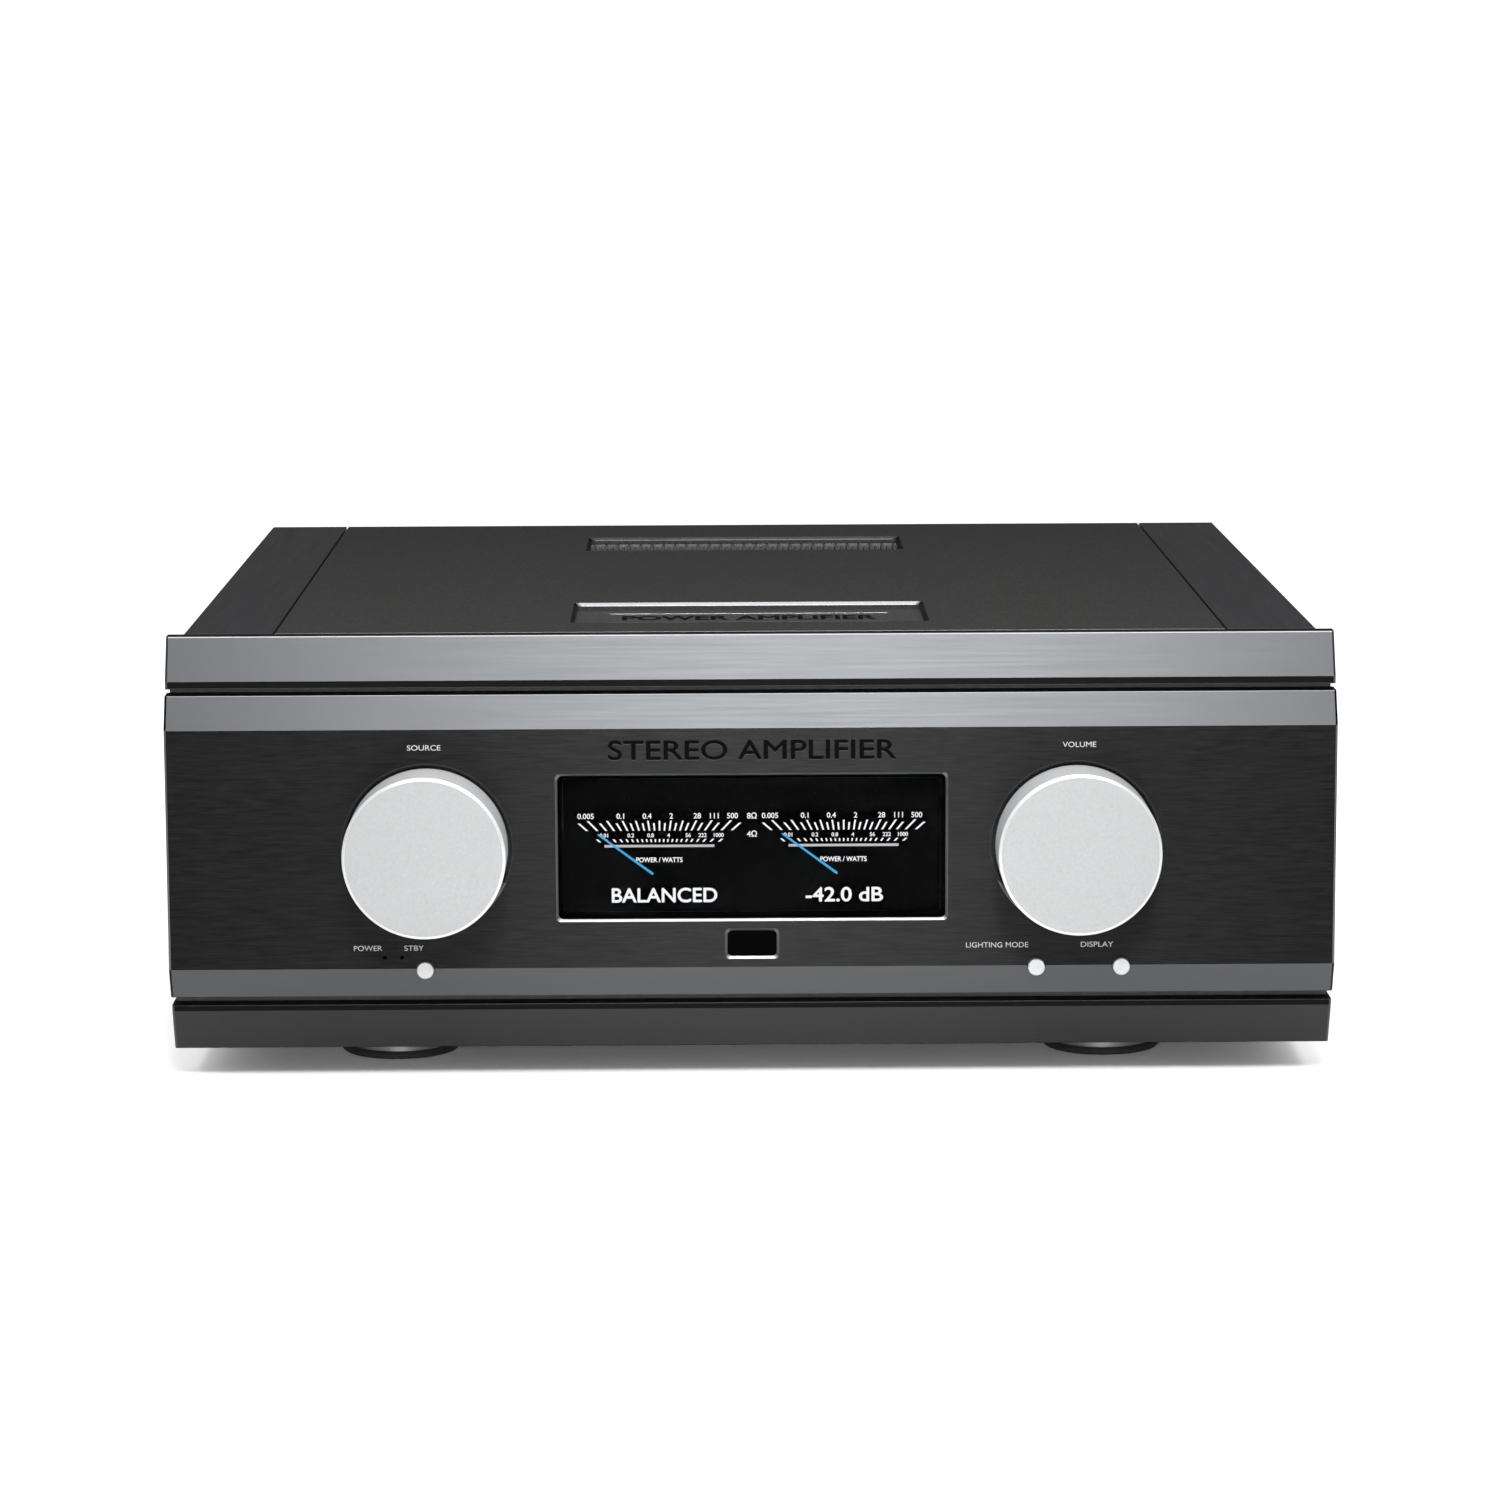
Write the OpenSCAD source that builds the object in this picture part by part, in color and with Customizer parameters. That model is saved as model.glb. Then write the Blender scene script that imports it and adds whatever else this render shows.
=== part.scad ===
// Stereo power amplifier with a sloped three-piece front, a display, two large knobs and a vented top cover.
// Origin: on the supporting surface, under the centre of the whole object. Front faces -Y, +Z is up.

/* [Overall] */
// Width of the front panel
front_w = 483; // [479:1:490]
// Width of the cabinet behind the front panel
body_w = 471.6; // [468:0.4:474]
// Height from the supporting surface to the top of the cover
total_h = 187; // [185:1:193]
// Depth from the flat front face to the rear edge of the cover
body_d = 435; // [432:1:445]
// Height of the cabinet's underside above the supporting surface
foot_h = 13.4; // [12:0.2:15]

/* [Front panel] */
// Height of the flat middle band of the front
flat_h = 100; // [96:1:102]
// Setback of the sloping faces for each millimetre of height
face_slope = 0.465; // [0.4:0.005:0.5]
// Height of the top bar's sloping face
top_bar_face_h = 17.7; // [16:0.1:19]
// Height of the top bar's upright lip
top_bar_lip_h = 3.2; // [2:0.1:4]
// Height of the groove under the top bar
top_groove_h = 2.4; // [2:0.1:4]
// Height of the bottom bar's sloping face
bottom_bar_face_h = 17.5; // [16:0.1:19]
// Height of the bottom bar's upright lip
bottom_bar_lip_h = 2.5; // [2:0.1:4]
// Height of the groove above the bottom bar
bottom_groove_h = 4; // [2:0.1:4.5]
// Bevel at the ends of the three front pieces
end_bevel = 1; // [0.4:0.1:2]

/* [Display] */
// Width of the display opening
display_w = 160; // [140:1:161]
// Height of the display opening
display_h = 60; // [50:1:61]
// Bevel around the display and sensor openings
opening_bevel = 1; // [0.6:0.1:1.4]

/* [Controls] */
// Radius of the two knobs
knob_r = 33.4; // [30:0.2:34]
// Distance that the knobs stand out of the flat front face
knob_out = 24; // [18:1:28]
// Distance from the centre line to each knob's axis
knob_x = 134; // [132:1:136]
// Radius of the three push buttons
button_r = 3.5; // [3:0.1:3.6]
// Travel of the push buttons
button_travel = 1.2; // [0.6:0.1:1.3]

/* [Cover] */
// Width of the centre cover plate
cover_w = 395; // [385:1:398]
// Thickness of the cover plate
cover_t = 3; // [2.6:0.2:3.2]
// Gap between the cover, the bar and the side panels
joint_gap = 0.8; // [0.6:0.1:1]
// Width of the openings in the cover
opening_w = 149; // [130:1:150]
// Bevel around the openings in the cover
cover_bevel = 1.3; // [0.8:0.1:1.6]

/* [Rear] */
// Distance that the speaker terminals stand out behind the cover
terminal_out = 26; // [24:1:30]
// Travel of the release tabs on the three-pole sockets
latch_travel = 2.5; // [1.5:0.1:2.8]

/* [Hidden] */
$fn = 64;
eps = 0.01;

// Planes along the depth
total_d = knob_out + body_d + terminal_out;
y_face = -total_d / 2 + knob_out;
y_back = y_face + body_d;
fascia_t = 18;
front_stack_t = 25.4;
y_stack = y_face + front_stack_t;
rear_panel_t = 2.5;
rear_inset = 3;
y_rear = y_back - rear_inset;
y_rear_in = y_rear - rear_panel_t;

// Levels of the front pieces
z_flat_low = foot_h + (total_h - foot_h - flat_h) / 2;
z_flat_high = z_flat_low + flat_h;
z_top_bar = total_h - top_bar_face_h - top_bar_lip_h;
z_bottom_bar = foot_h + bottom_bar_face_h + bottom_bar_lip_h;
z_mid_high = z_top_bar - top_groove_h;
z_mid_low = z_bottom_bar + bottom_groove_h;
control_z = (z_flat_low + z_flat_high) / 2 + 0.3;
button_z = z_flat_low - 0.6;
led_z = z_flat_low + 4.7;
sensor_z = z_flat_low + 9.8;

// Controls on the front
counterbore_d = 3;
counterbore_r = knob_r + 1;
knob_tuck = 1.5;
shaft_r = 3;
running_gap = 0.05;
bush_r = 5;
button_gap = 0.3;
button_out = 1.5;
button_hole_d = 8;
button_xs = [-135.3, 117.7, 152.9];
led_xs = [-152, -144.9];
led_r = 0.9;

// Window openings in the front
corner_r = 2;
window_set = 2.5;
window_pocket = [display_w + 6, 65];
sensor_w = 20.4;
sensor_h = 10.8;
sensor_pocket = [23, 13];

// Cabinet
z_base = foot_h;
base_t = 2.5;
side_t = 6;
side_x = body_w / 2;
panel_gap = 0.3;
cover_y = y_stack + joint_gap;
recess_y = [57, 121.5];
slot_y = [324, 378];
plaque_t = 2.4;
z_under_cover = total_h - cover_t;
z_floor = z_base + base_t;

// Feet
foot_x = 151;
foot_ys = [78, 357];
foot_r = 23;
pad_r = 25.2;
pad_h = 3;

// Heat sinks
fin_pitch = 2.8;
fin_t = 1.2;
fin_count = 53;
sink_base_t = 9;
sink_w = 160;
sink_z = z_floor + 8;
sink_top = z_under_cover - 0.2;
sink_mid = (slot_y[0] + slot_y[1]) / 2;
fin_d = (slot_y[1] - slot_y[0]) / 2 - 0.5;

// Power supply
transformer_pos = [0, 130];
transformer_r = 78;
transformer_h = 76;
board_t = 1.6;
psu_y = 255;
psu_z = z_floor + 8;
block_d = 7;
block_h = 9;
capacitor_xs = [-160, -100, -40, 40, 100, 160];
capacitor_r = 25;
capacitor_h = 80;
bridge_xs = [-130, 130];

// Rear panel layout
rca_xs = [for (i = [0:5]) -120 + 24 * i];
rca_zs = [128, 150];
rca_r = 4.15;
rca_out = 9;
xlr_xs = [-194, -158];
xlr_z = 139;
latch_inner = 8.5;
latch_z = 10.4;
xlr_shell_r = 11.9;
xlr_r = 9.7;
xlr_core_r = 7.3;
xlr_corners = [[-9.5, 12], [9.5, -12]];
trigger_xs = [36, 54];
trigger_z = 150;
trigger_r = 1.8;
terminal_xs = [-192, -160, 92, 124];
terminal_z = 60;
stem_r = 4;
stem_gap = 0.06;
banana_r = 2.03;
banana_l = 19;
flange_t = 5;
washer_t = 1.6;
inlet_x = 192;
inlet_z = 60;
inlet_body = [27.6, 40];
inlet_recess = [24.2, 16.6, 16];
inlet_recess_z = inlet_z + 7;
drawer_size = [20, 21.5, 9];
drawer_z = inlet_z - 13.4;
switch_z = 122;
switch_body_size = [24, 20];
rocker_pin_r = 1.5;
rocker_tilt = 9;
rocker_in = 4;
side_top_t = 6;
channel = 9;
rear_screw_z = [z_floor + 3 + channel / 2, total_h - side_top_t - channel / 2];
cover_screw_xs = [-150, -50, 50, 150];
cover_screw_z = total_h - 12;
base_screw_xs = [-90, 80, 150];
base_screw_z = z_floor + 5;
side_screw_inset = 7;
side_screw_ys = [60, 180, 300, 410];
stack_screw_xs = [-200, -90, 90, 200];
stack_screw_zs = [z_mid_low + 12, z_mid_high - 12];
button_flange_d = button_hole_d + 0.3;
switch_d = 11.6;
switch_body = [6.2, 4];

// Depth behind the flat front face, as a position along Y
function back(depth) = y_face + depth;

// Position along Y of the sloping front at a height
function front_at(z) = y_face + face_slope * max(0, z - z_flat_high, z_flat_low - z);

// Points children's +Z towards the back of the amplifier
module along_y(x, y, z) {
    translate([x, y, z]) rotate([-90, 0, 0]) children();
}

// Extrudes a (Y, Z) outline along X, centred
module x_extrude(length) {
    rotate([90, 0, 90]) linear_extrude(height = length, center = true) children();
}

module rounded_rect(w, h, r) {
    square([w - 2 * r, h], center = true);
    square([w, h - 2 * r], center = true);
    for (x = [-1, 1], y = [-1, 1]) translate([x * (w / 2 - r), y * (h / 2 - r)]) circle(r);
}

// Upright plate with rounded corners, whose thickness runs back from y
module upright_plate(x, y, z, w, h, t, r) {
    along_y(x, y, z) linear_extrude(height = t) rounded_rect(w, h, r);
}

// Cutter for an upright opening with a bevel on its front edge
module bevelled_window(x, z, w, h) {
    upright_plate(x, y_face - eps, z, w, h, fascia_t, corner_r);
    hull() {
        upright_plate(x, y_face - eps, z, w + 2 * opening_bevel, h + 2 * opening_bevel, eps, corner_r,
            $fn = 32);
        upright_plate(x, y_face + opening_bevel, z, w, h, eps, corner_r, $fn = 32);
    }
}

// Front piece of an outline, with its front edges bevelled at both ends
module bevelled_bar(points) {
    hull() {
        x_extrude(front_w - 2 * end_bevel) polygon(points);
        x_extrude(front_w) intersection() {
            polygon(points);
            translate([end_bevel, 0]) polygon(points);
        }
    }
}

module pan_screw(shank_r, shank_l, head_r, head_h) {
    translate([0, 0, -shank_l]) cylinder(r = shank_r, h = shank_l + eps);
    difference() {
        cylinder(r1 = head_r, r2 = head_r * 0.8, h = head_h);
        translate([0, 0, head_h * 0.45]) cylinder(r = head_r * 0.42, h = head_h, $fn = 6);
    }
}

// ---- Front ----

module front_fascia() {
    points = [
        [front_at(z_mid_low), z_mid_low], [y_face, z_flat_low], [y_face, z_flat_high],
        [front_at(z_mid_high), z_mid_high], [back(fascia_t), z_mid_high], [back(fascia_t), z_mid_low]
    ];
    ring_bevel = 1.2;
    nut_pocket_r = 10;
    nut_pocket_d = 13;
    color("#3a3b3c") difference() {
        bevelled_bar(points);
        bevelled_window(0, control_z, display_w, display_h);
        bevelled_window(0, sensor_z, sensor_w, sensor_h);
        upright_plate(0, back(window_set), control_z, window_pocket[0], window_pocket[1], fascia_t, 1);
        upright_plate(0, back(window_set), sensor_z, sensor_pocket[0], sensor_pocket[1], fascia_t, 1);
        for (side = [-1, 1]) {
            along_y(side * knob_x, y_face - eps, control_z) {
                cylinder(r1 = counterbore_r + ring_bevel, r2 = counterbore_r, h = ring_bevel, $fn = 128);
                cylinder(r = counterbore_r, h = counterbore_d, $fn = 128);
                cylinder(r = bush_r + 0.3, h = fascia_t + 1);
            }
            along_y(side * knob_x, back(nut_pocket_d), control_z) cylinder(r = nut_pocket_r, h = fascia_t);
        }
        for (x = button_xs) {
            along_y(x, back(-1), button_z) cylinder(r = button_r + button_gap, h = fascia_t);
            along_y(x, back(button_hole_d), button_z) cylinder(r = 7, h = fascia_t);
        }
        for (x = led_xs) along_y(x, back(-1), led_z) cylinder(r = led_r, h = fascia_t);
        translate([-156.5, back(13.5), led_z - 4]) cube([13.8, fascia_t, 8]);
        for (x = stack_screw_xs, z = stack_screw_zs) along_y(x, back(10), z) cylinder(r = 2.05, h = fascia_t);
    }
}

module fascia_top_bar() {
    lip_y = front_at(total_h - top_bar_face_h);
    color("#4a4c50") bevelled_bar([
        [front_at(total_h), total_h], [lip_y, total_h - top_bar_face_h], [lip_y, z_top_bar],
        [y_stack, z_top_bar], [y_stack, total_h]
    ]);
}

module fascia_bottom_bar() {
    lip_y = front_at(foot_h + bottom_bar_face_h);
    color("#2e2f30") bevelled_bar([
        [front_at(foot_h), foot_h], [lip_y, foot_h + bottom_bar_face_h], [lip_y, z_bottom_bar],
        [y_stack, z_bottom_bar], [y_stack, foot_h]
    ]);
}

module fascia_backplate() {
    plate_w = front_w - 2 * end_bevel;
    cut_y = back(fascia_t - 1);
    cut_l = 12;
    lamp_lead_x = -149;
    color("#151515") difference() {
        translate([-plate_w / 2, back(fascia_t), z_bottom_bar])
            cube([plate_w, front_stack_t - fascia_t, z_top_bar - z_bottom_bar]);
        upright_plate(0, cut_y, control_z, 150, 50, cut_l, 3);
        upright_plate(0, cut_y, sensor_z, 16, 9, cut_l, 1);
        for (side = [-1, 1]) along_y(side * knob_x, cut_y, control_z) cylinder(r = bush_r + 0.1, h = cut_l);
        for (x = concat(button_xs, [lamp_lead_x])) along_y(x, cut_y, button_z + 2) cylinder(r = 3, h = cut_l);
        for (x = stack_screw_xs, z = stack_screw_zs) along_y(x, cut_y, z) cylinder(r = 2.2, h = cut_l);
    }
}

module display_window() {
    color("#0b0c0e") upright_plate(0, back(window_set + 0.1), control_z, window_pocket[0] - 0.6,
        window_pocket[1] - 0.6, 3, 1);
}

module display_module() {
    frame_w = window_pocket[0] - 4;
    frame_h = window_pocket[1] - 3;
    frame_y = 5.8;
    panel_w = 156;
    panel_h = 56;
    color("#141518") difference() {
        upright_plate(0, back(frame_y), control_z, frame_w, frame_h, 7.6, 1);
        upright_plate(0, back(frame_y - 0.1), control_z, panel_w, panel_h, 2.2, 1);
    }
    color("#101418") upright_plate(0, back(frame_y + 0.4), control_z, panel_w - 0.4, panel_h - 0.4, 1.7, 1);
}

module ir_window() {
    color("#120808") upright_plate(0, back(window_set + 0.1), sensor_z, sensor_pocket[0] - 0.5,
        sensor_pocket[1] - 0.5, 2.4, 1);
}

module status_leds() {
    color("#3b1512") for (x = led_xs) along_y(x, back(0.3), led_z) cylinder(r = led_r - 0.05, h = 13.4);
    color("#2c5a33") translate([-156.2, back(16.2), led_z - 3]) cube([13.2, 1.2, 6]);
    color("#e8e0c8") for (x = led_xs) translate([x - 1.5, back(13.8), led_z - 1.5]) cube([3, 2.4, 3]);
}

module control_board() {
    color("#1f5a34") upright_plate(0, back(14.2), control_z, 148, 48, board_t, 2);
    color("#202020") {
        for (x = [-45, -10]) translate([x, back(14.2 + board_t), control_z - 12]) cube([20, 2, 20]);
        translate([44, back(14.2 + board_t), control_z + 11]) cube([26, 8, 6]);
        translate([-70, back(14.2 + board_t), control_z - 20]) cube([14, 8, 6]);
        translate([-3.5, back(6), sensor_z - 4]) cube([7, 5.5, 8]);
    }
    color("#2c5a33") translate([-7, back(11.5), sensor_z - 4]) cube([14, board_t, 8]);
}

// Endless encoder: body behind the backplate, threaded bush through it and a nut in front
module encoder(x) {
    case_w = 24;
    case_d = 12;
    bush_front = 8;
    color("#6d7074") difference() {
        union() {
            translate([x - case_w / 2, y_stack, control_z - case_w / 2]) cube([case_w, case_d, case_w]);
            along_y(x, back(bush_front), control_z)
                cylinder(r = bush_r, h = front_stack_t - bush_front + eps);
        }
        along_y(x, back(bush_front - 1), control_z) cylinder(r = shaft_r + running_gap, h = 28);
    }
    color("#b9bcc0") along_y(x, back(fascia_t - 3), control_z) difference() {
        cylinder(r = 8, h = 3, $fn = 6);
        translate([0, 0, -1]) cylinder(r = bush_r + 0.03, h = 5);
    }
}

module source_encoder() {
    encoder(-knob_x);
}

module volume_encoder() {
    encoder(knob_x);
}

// Three sealed tactile switches, each on a small round board
module button_switches() {
    side = switch_body[0];
    for (x = button_xs) {
        color("#222222") difference() {
            translate([x - side / 2, back(switch_d), button_z - side / 2]) cube([side, switch_body[1], side]);
            along_y(x, back(switch_d - 1), button_z) cylinder(r = 1.9, h = switch_body[1] + 0.4);
        }
        color("#1f5a34") along_y(x, back(switch_d + switch_body[1]), button_z) cylinder(r = 6.6, h = board_t);
    }
}

// Turned knob, hollow behind its face, with a boss on the shaft
module knob(x) {
    face_t = 8;
    edge = 1.2;
    pocket_r = knob_r - 4;
    boss_r = 9;
    length = knob_out + knob_tuck;
    bore_r = shaft_r + 0.02;
    color("#c9cbcc") along_y(x, back(-knob_out), control_z) rotate_extrude($fn = 128) polygon([
        [0, 0], [knob_r - edge, 0], [knob_r, edge], [knob_r, length], [pocket_r, length], [pocket_r, face_t],
        [boss_r, face_t], [boss_r, length], [bore_r, length], [bore_r, face_t], [0, face_t]
    ]);
}

module knob_shaft(x) {
    front_end = -knob_out + 8.5;
    rear_end = 34.5;
    color("#b9bcc0") along_y(x, back(front_end), control_z) cylinder(r = shaft_r, h = rear_end - front_end);
}

module source_knob() {
    knob(-knob_x);
}

module source_shaft() {
    knob_shaft(-knob_x);
}

module volume_knob() {
    knob(knob_x);
}

module volume_shaft() {
    knob_shaft(knob_x);
}

// Button cap with a retaining flange and a stem that enters its switch
module push_button(x) {
    edge = 0.3;
    flange_r = 5.5;
    flange_end = switch_d - button_travel - 0.5;
    stem_r = 1.6;
    stem_end = switch_d + switch_body[1] - 1 - button_travel;
    color("#d8d9d8") along_y(x, y_face, button_z) rotate_extrude() polygon([
        [0, -button_out], [button_r - edge, -button_out], [button_r, edge - button_out],
        [button_r, button_flange_d], [flange_r, button_flange_d], [flange_r, flange_end],
        [stem_r, flange_end], [stem_r, stem_end], [0, stem_end]
    ]);
}

module standby_button() {
    push_button(button_xs[0]);
}

module lighting_button() {
    push_button(button_xs[1]);
}

module display_button() {
    push_button(button_xs[2]);
}

// ---- Cabinet ----

// Cutter for an opening in the cover with bevelled upper edges
module cover_opening(span) {
    length = span[1] - span[0];
    centre = [0, back((span[0] + span[1]) / 2)];
    translate([centre[0], centre[1], z_under_cover - 1]) linear_extrude(height = cover_t + 2)
        rounded_rect(opening_w, length, corner_r);
    hull() {
        translate([centre[0], centre[1], total_h]) linear_extrude(height = eps)
            rounded_rect(opening_w + 2 * cover_bevel, length + 2 * cover_bevel, corner_r, $fn = 32);
        translate([centre[0], centre[1], total_h - cover_bevel]) linear_extrude(height = eps)
            rounded_rect(opening_w, length, corner_r, $fn = 32);
    }
}

module top_cover() {
    flange_h = 18;
    color("#3c3d3f") difference() {
        union() {
            translate([-cover_w / 2, cover_y, z_under_cover]) cube([cover_w, y_back - cover_y, cover_t]);
            translate([-cover_w / 2, y_rear, total_h - flange_h]) cube([cover_w, rear_inset, flange_h]);
        }
        cover_opening(recess_y);
        cover_opening(slot_y);
        for (x = cover_screw_xs) along_y(x, y_rear - 1, cover_screw_z) cylinder(r = 1.7, h = 6);
    }
}

// Plate under the front opening of the cover, with a raised panel in it
module name_plaque() {
    length = recess_y[1] - recess_y[0];
    centre_y = back((recess_y[0] + recess_y[1]) / 2);
    color("#1d1e20") {
        translate([0, centre_y, z_under_cover - plaque_t]) linear_extrude(height = plaque_t)
            rounded_rect(opening_w + 10, length + 10, corner_r);
        translate([0, centre_y, z_under_cover - eps]) linear_extrude(height = 0.5)
            rounded_rect(126, 35, 1);
    }
}

// Side extrusion: outer wall, top flange with a ledge for the cover, bottom lip and two screw channels
module side_panel(side) {
    edge = 1;
    ledge = 10;
    lip = 14;
    flange_x = cover_w / 2 + joint_gap;
    wall_x = side_x - side_t;
    z_ledge = z_under_cover - 0.1;
    length = y_back - cover_y;
    outline = [
        [side_x - edge, total_h], [side_x, total_h - edge], [side_x, z_base + edge],
        [side_x - edge, z_base], [wall_x, z_base], [wall_x, z_floor + 0.1], [wall_x - lip, z_floor + 0.1],
        [wall_x - lip, z_floor + 3], [wall_x - channel, z_floor + 3],
        [wall_x - channel, z_floor + 3 + channel], [wall_x, z_floor + 3 + channel],
        [wall_x, total_h - side_top_t - channel],
        [wall_x - channel, total_h - side_top_t - channel],
        [wall_x - channel, total_h - side_top_t], [flange_x - ledge, total_h - side_top_t],
        [flange_x - ledge, z_ledge], [flange_x, z_ledge], [flange_x, total_h]
    ];
    mirror([side < 0 ? 1 : 0, 0, 0]) color("#232427") difference() {
        translate([0, y_back, 0]) rotate([90, 0, 0]) linear_extrude(height = length) polygon(outline);
        translate([0, y_rear_in, z_base - 1]) cube([wall_x, 20, total_h - side_top_t - z_base + 1]);
        translate([0, y_rear_in, z_base - 1]) cube([flange_x, 20, total_h]);
        for (z = rear_screw_z) along_y(wall_x - channel / 2, y_rear_in - 14, z) cylinder(r = 1.5, h = 20);
        for (y = side_screw_ys)
            translate([wall_x - side_screw_inset, back(y), z_floor]) cylinder(r = 1.5, h = 10);
    }
}

module left_side_panel() {
    side_panel(-1);
}

module right_side_panel() {
    side_panel(1);
}

// Rows of cooling slots cut through the base
module base_vents(centre_y, columns, rows) {
    slot_l = 26;
    slot_w = 4;
    pitch = [34, 9];
    for (i = [0:columns - 1], j = [0:rows - 1]) {
        x = (i - (columns - 1) / 2) * pitch[0];
        y = back(centre_y) + (j - (rows - 1) / 2) * pitch[1];
        translate([x, y, z_base - 1]) linear_extrude(height = base_t + 2)
            rounded_rect(slot_l, slot_w, slot_w / 2 - eps);
    }
}

module chassis_base() {
    plate_w = 2 * (side_x - side_t) - 2 * panel_gap;
    flange_h = 10;
    flange_w = plate_w - 40;
    color("#2a2b2c") difference() {
        union() {
            translate([-plate_w / 2, y_stack, z_base]) cube([plate_w, y_rear_in - y_stack, base_t]);
            translate([-flange_w / 2, y_stack, z_base])
                cube([flange_w, base_t, z_bottom_bar - z_base + flange_h]);
            translate([-flange_w / 2, y_rear_in - base_t, z_base]) cube([flange_w, base_t, flange_h]);
        }
        base_vents(sink_mid, 5, 6);
        for (side = [-1, 1]) translate([side * 150, 0, 0]) base_vents(305, 3, 4);
        for (x = [-foot_x, foot_x], y = foot_ys)
            translate([x, back(y), z_base - 1]) cylinder(r = 2.7, h = base_t + 2);
        translate([transformer_pos[0], back(transformer_pos[1]), z_base - 1])
            cylinder(r = 4.2, h = base_t + 2);
        for (side = [-1, 1], y = side_screw_ys)
            translate([side * (side_x - side_t - side_screw_inset), back(y), z_base - 1])
                cylinder(r = 1.7, h = base_t + 2);
        for (x = base_screw_xs)
            along_y(x, y_rear_in - base_t - 1, base_screw_z) cylinder(r = 1.65, h = base_t + 2);
    }
}

// Cutter for a round hole through the rear panel
module rear_hole(x, z, r) {
    along_y(x, y_rear_in - 1, z) cylinder(r = r, h = rear_panel_t + 2);
}

module rear_panel() {
    plate_w = 2 * (side_x - side_t) - 2 * panel_gap;
    plate_z = [z_base + panel_gap, total_h - side_top_t - panel_gap];
    color("#1c1d1e") difference() {
        translate([-plate_w / 2, y_rear_in, plate_z[0]])
            cube([plate_w, rear_panel_t, plate_z[1] - plate_z[0]]);
        for (x = rca_xs, z = rca_zs) rear_hole(x, z, 5.1);
        for (x = xlr_xs) rear_hole(x, xlr_z, xlr_shell_r + 0.2);
        for (x = trigger_xs) rear_hole(x, trigger_z, 3.1);
        for (x = terminal_xs) rear_hole(x, terminal_z, 6.1);
        upright_plate(inlet_x, y_rear_in - 1, inlet_z, inlet_body[0] + 0.4, inlet_body[1] + 0.4, 6, 0.2);
        upright_plate(inlet_x, y_rear_in - 1, switch_z, switch_body_size[0] + 0.4,
            switch_body_size[1] + 0.4, 6, 0.2);
        for (x = cover_screw_xs) rear_hole(x, cover_screw_z, 1.3);
        for (side = [-1, 1], z = rear_screw_z) rear_hole(side * (side_x - side_t - channel / 2), z, 1.7);
        for (x = xlr_xs, corner = xlr_corners) rear_hole(x + corner[0], xlr_z + corner[1], 1.3);
        for (x = xlr_xs) translate([x - 4, y_rear_in - 1, xlr_z + latch_z - 4]) cube([8, 6, 7.6]);
        for (x = base_screw_xs) rear_hole(x, base_screw_z, 1.7);
    }
}

module feet() {
    waist = 1.2;
    bolt_hole_r = 2.6;
    for (x = [-foot_x, foot_x], y = foot_ys) color("#77797c") translate([x, back(y), 0])
        rotate_extrude($fn = 96) polygon([
            [0, pad_h], [foot_r, pad_h], [foot_r, z_base - 4], [foot_r - waist, z_base - 4],
            [foot_r - waist, z_base - 3], [foot_r, z_base - 3], [foot_r, z_base], [bolt_hole_r, z_base],
            [bolt_hole_r, z_base - 4], [0, z_base - 4]
        ]);
}

module foot_pads() {
    edge = 0.8;
    for (x = [-foot_x, foot_x], y = foot_ys) color("#1a1a1a") translate([x, back(y), 0])
        rotate_extrude($fn = 96) polygon([
            [0, 0], [pad_r - edge, 0], [pad_r, edge], [pad_r, pad_h - edge], [pad_r - edge, pad_h], [0, pad_h]
        ]);
}

// ---- Heat sinks and output stage ----

// One finned sink: a thick base plate and upright fins, every other one a little lower
module heat_sink(base_y, fins_back) {
    fins_y = fins_back ? base_y + sink_base_t - eps : base_y - fin_d + eps;
    color("#33363a") {
        translate([-sink_w / 2, base_y, sink_z]) cube([sink_w, sink_base_t, sink_top - sink_z]);
        for (i = [0:fin_count - 1])
            translate([(i - (fin_count - 1) / 2) * fin_pitch - fin_t / 2, fins_y, sink_z])
                cube([fin_t, fin_d, sink_top - sink_z - (i % 2) * 1.2]);
        for (x = [-sink_w / 2 + 6, sink_w / 2 - 6])
            translate([x - 5, base_y, z_floor]) cube([10, sink_base_t, sink_z - z_floor + eps]);
    }
}

module heat_sink_front() {
    heat_sink(back(sink_mid - fin_d - 0.5 - sink_base_t), true);
}

module heat_sink_rear() {
    heat_sink(back(sink_mid + fin_d + 0.5), false);
}

// Flat plastic-cased transistors clamped to the outer faces of both sinks
module output_transistors() {
    case = [16, 5, 21];
    lead_l = 12;
    outer = [
        back(sink_mid - fin_d - 0.5 - sink_base_t) - case[1],
        back(sink_mid + fin_d + 0.5) + sink_base_t
    ];
    for (face_y = outer, i = [-2:2]) translate([i * 28 - case[0] / 2, face_y, sink_z + 42]) {
        color("#151515") difference() {
            cube(case);
            translate([case[0] / 2, -1, case[2] - 5]) rotate([-90, 0, 0]) cylinder(r = 1.7, h = 7);
        }
        color("#c9c9c4") for (x = [2.5, 8, 13.5])
            translate([x - 0.6, 2, -lead_l]) cube([1.2, 0.8, lead_l + eps]);
    }
}

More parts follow.
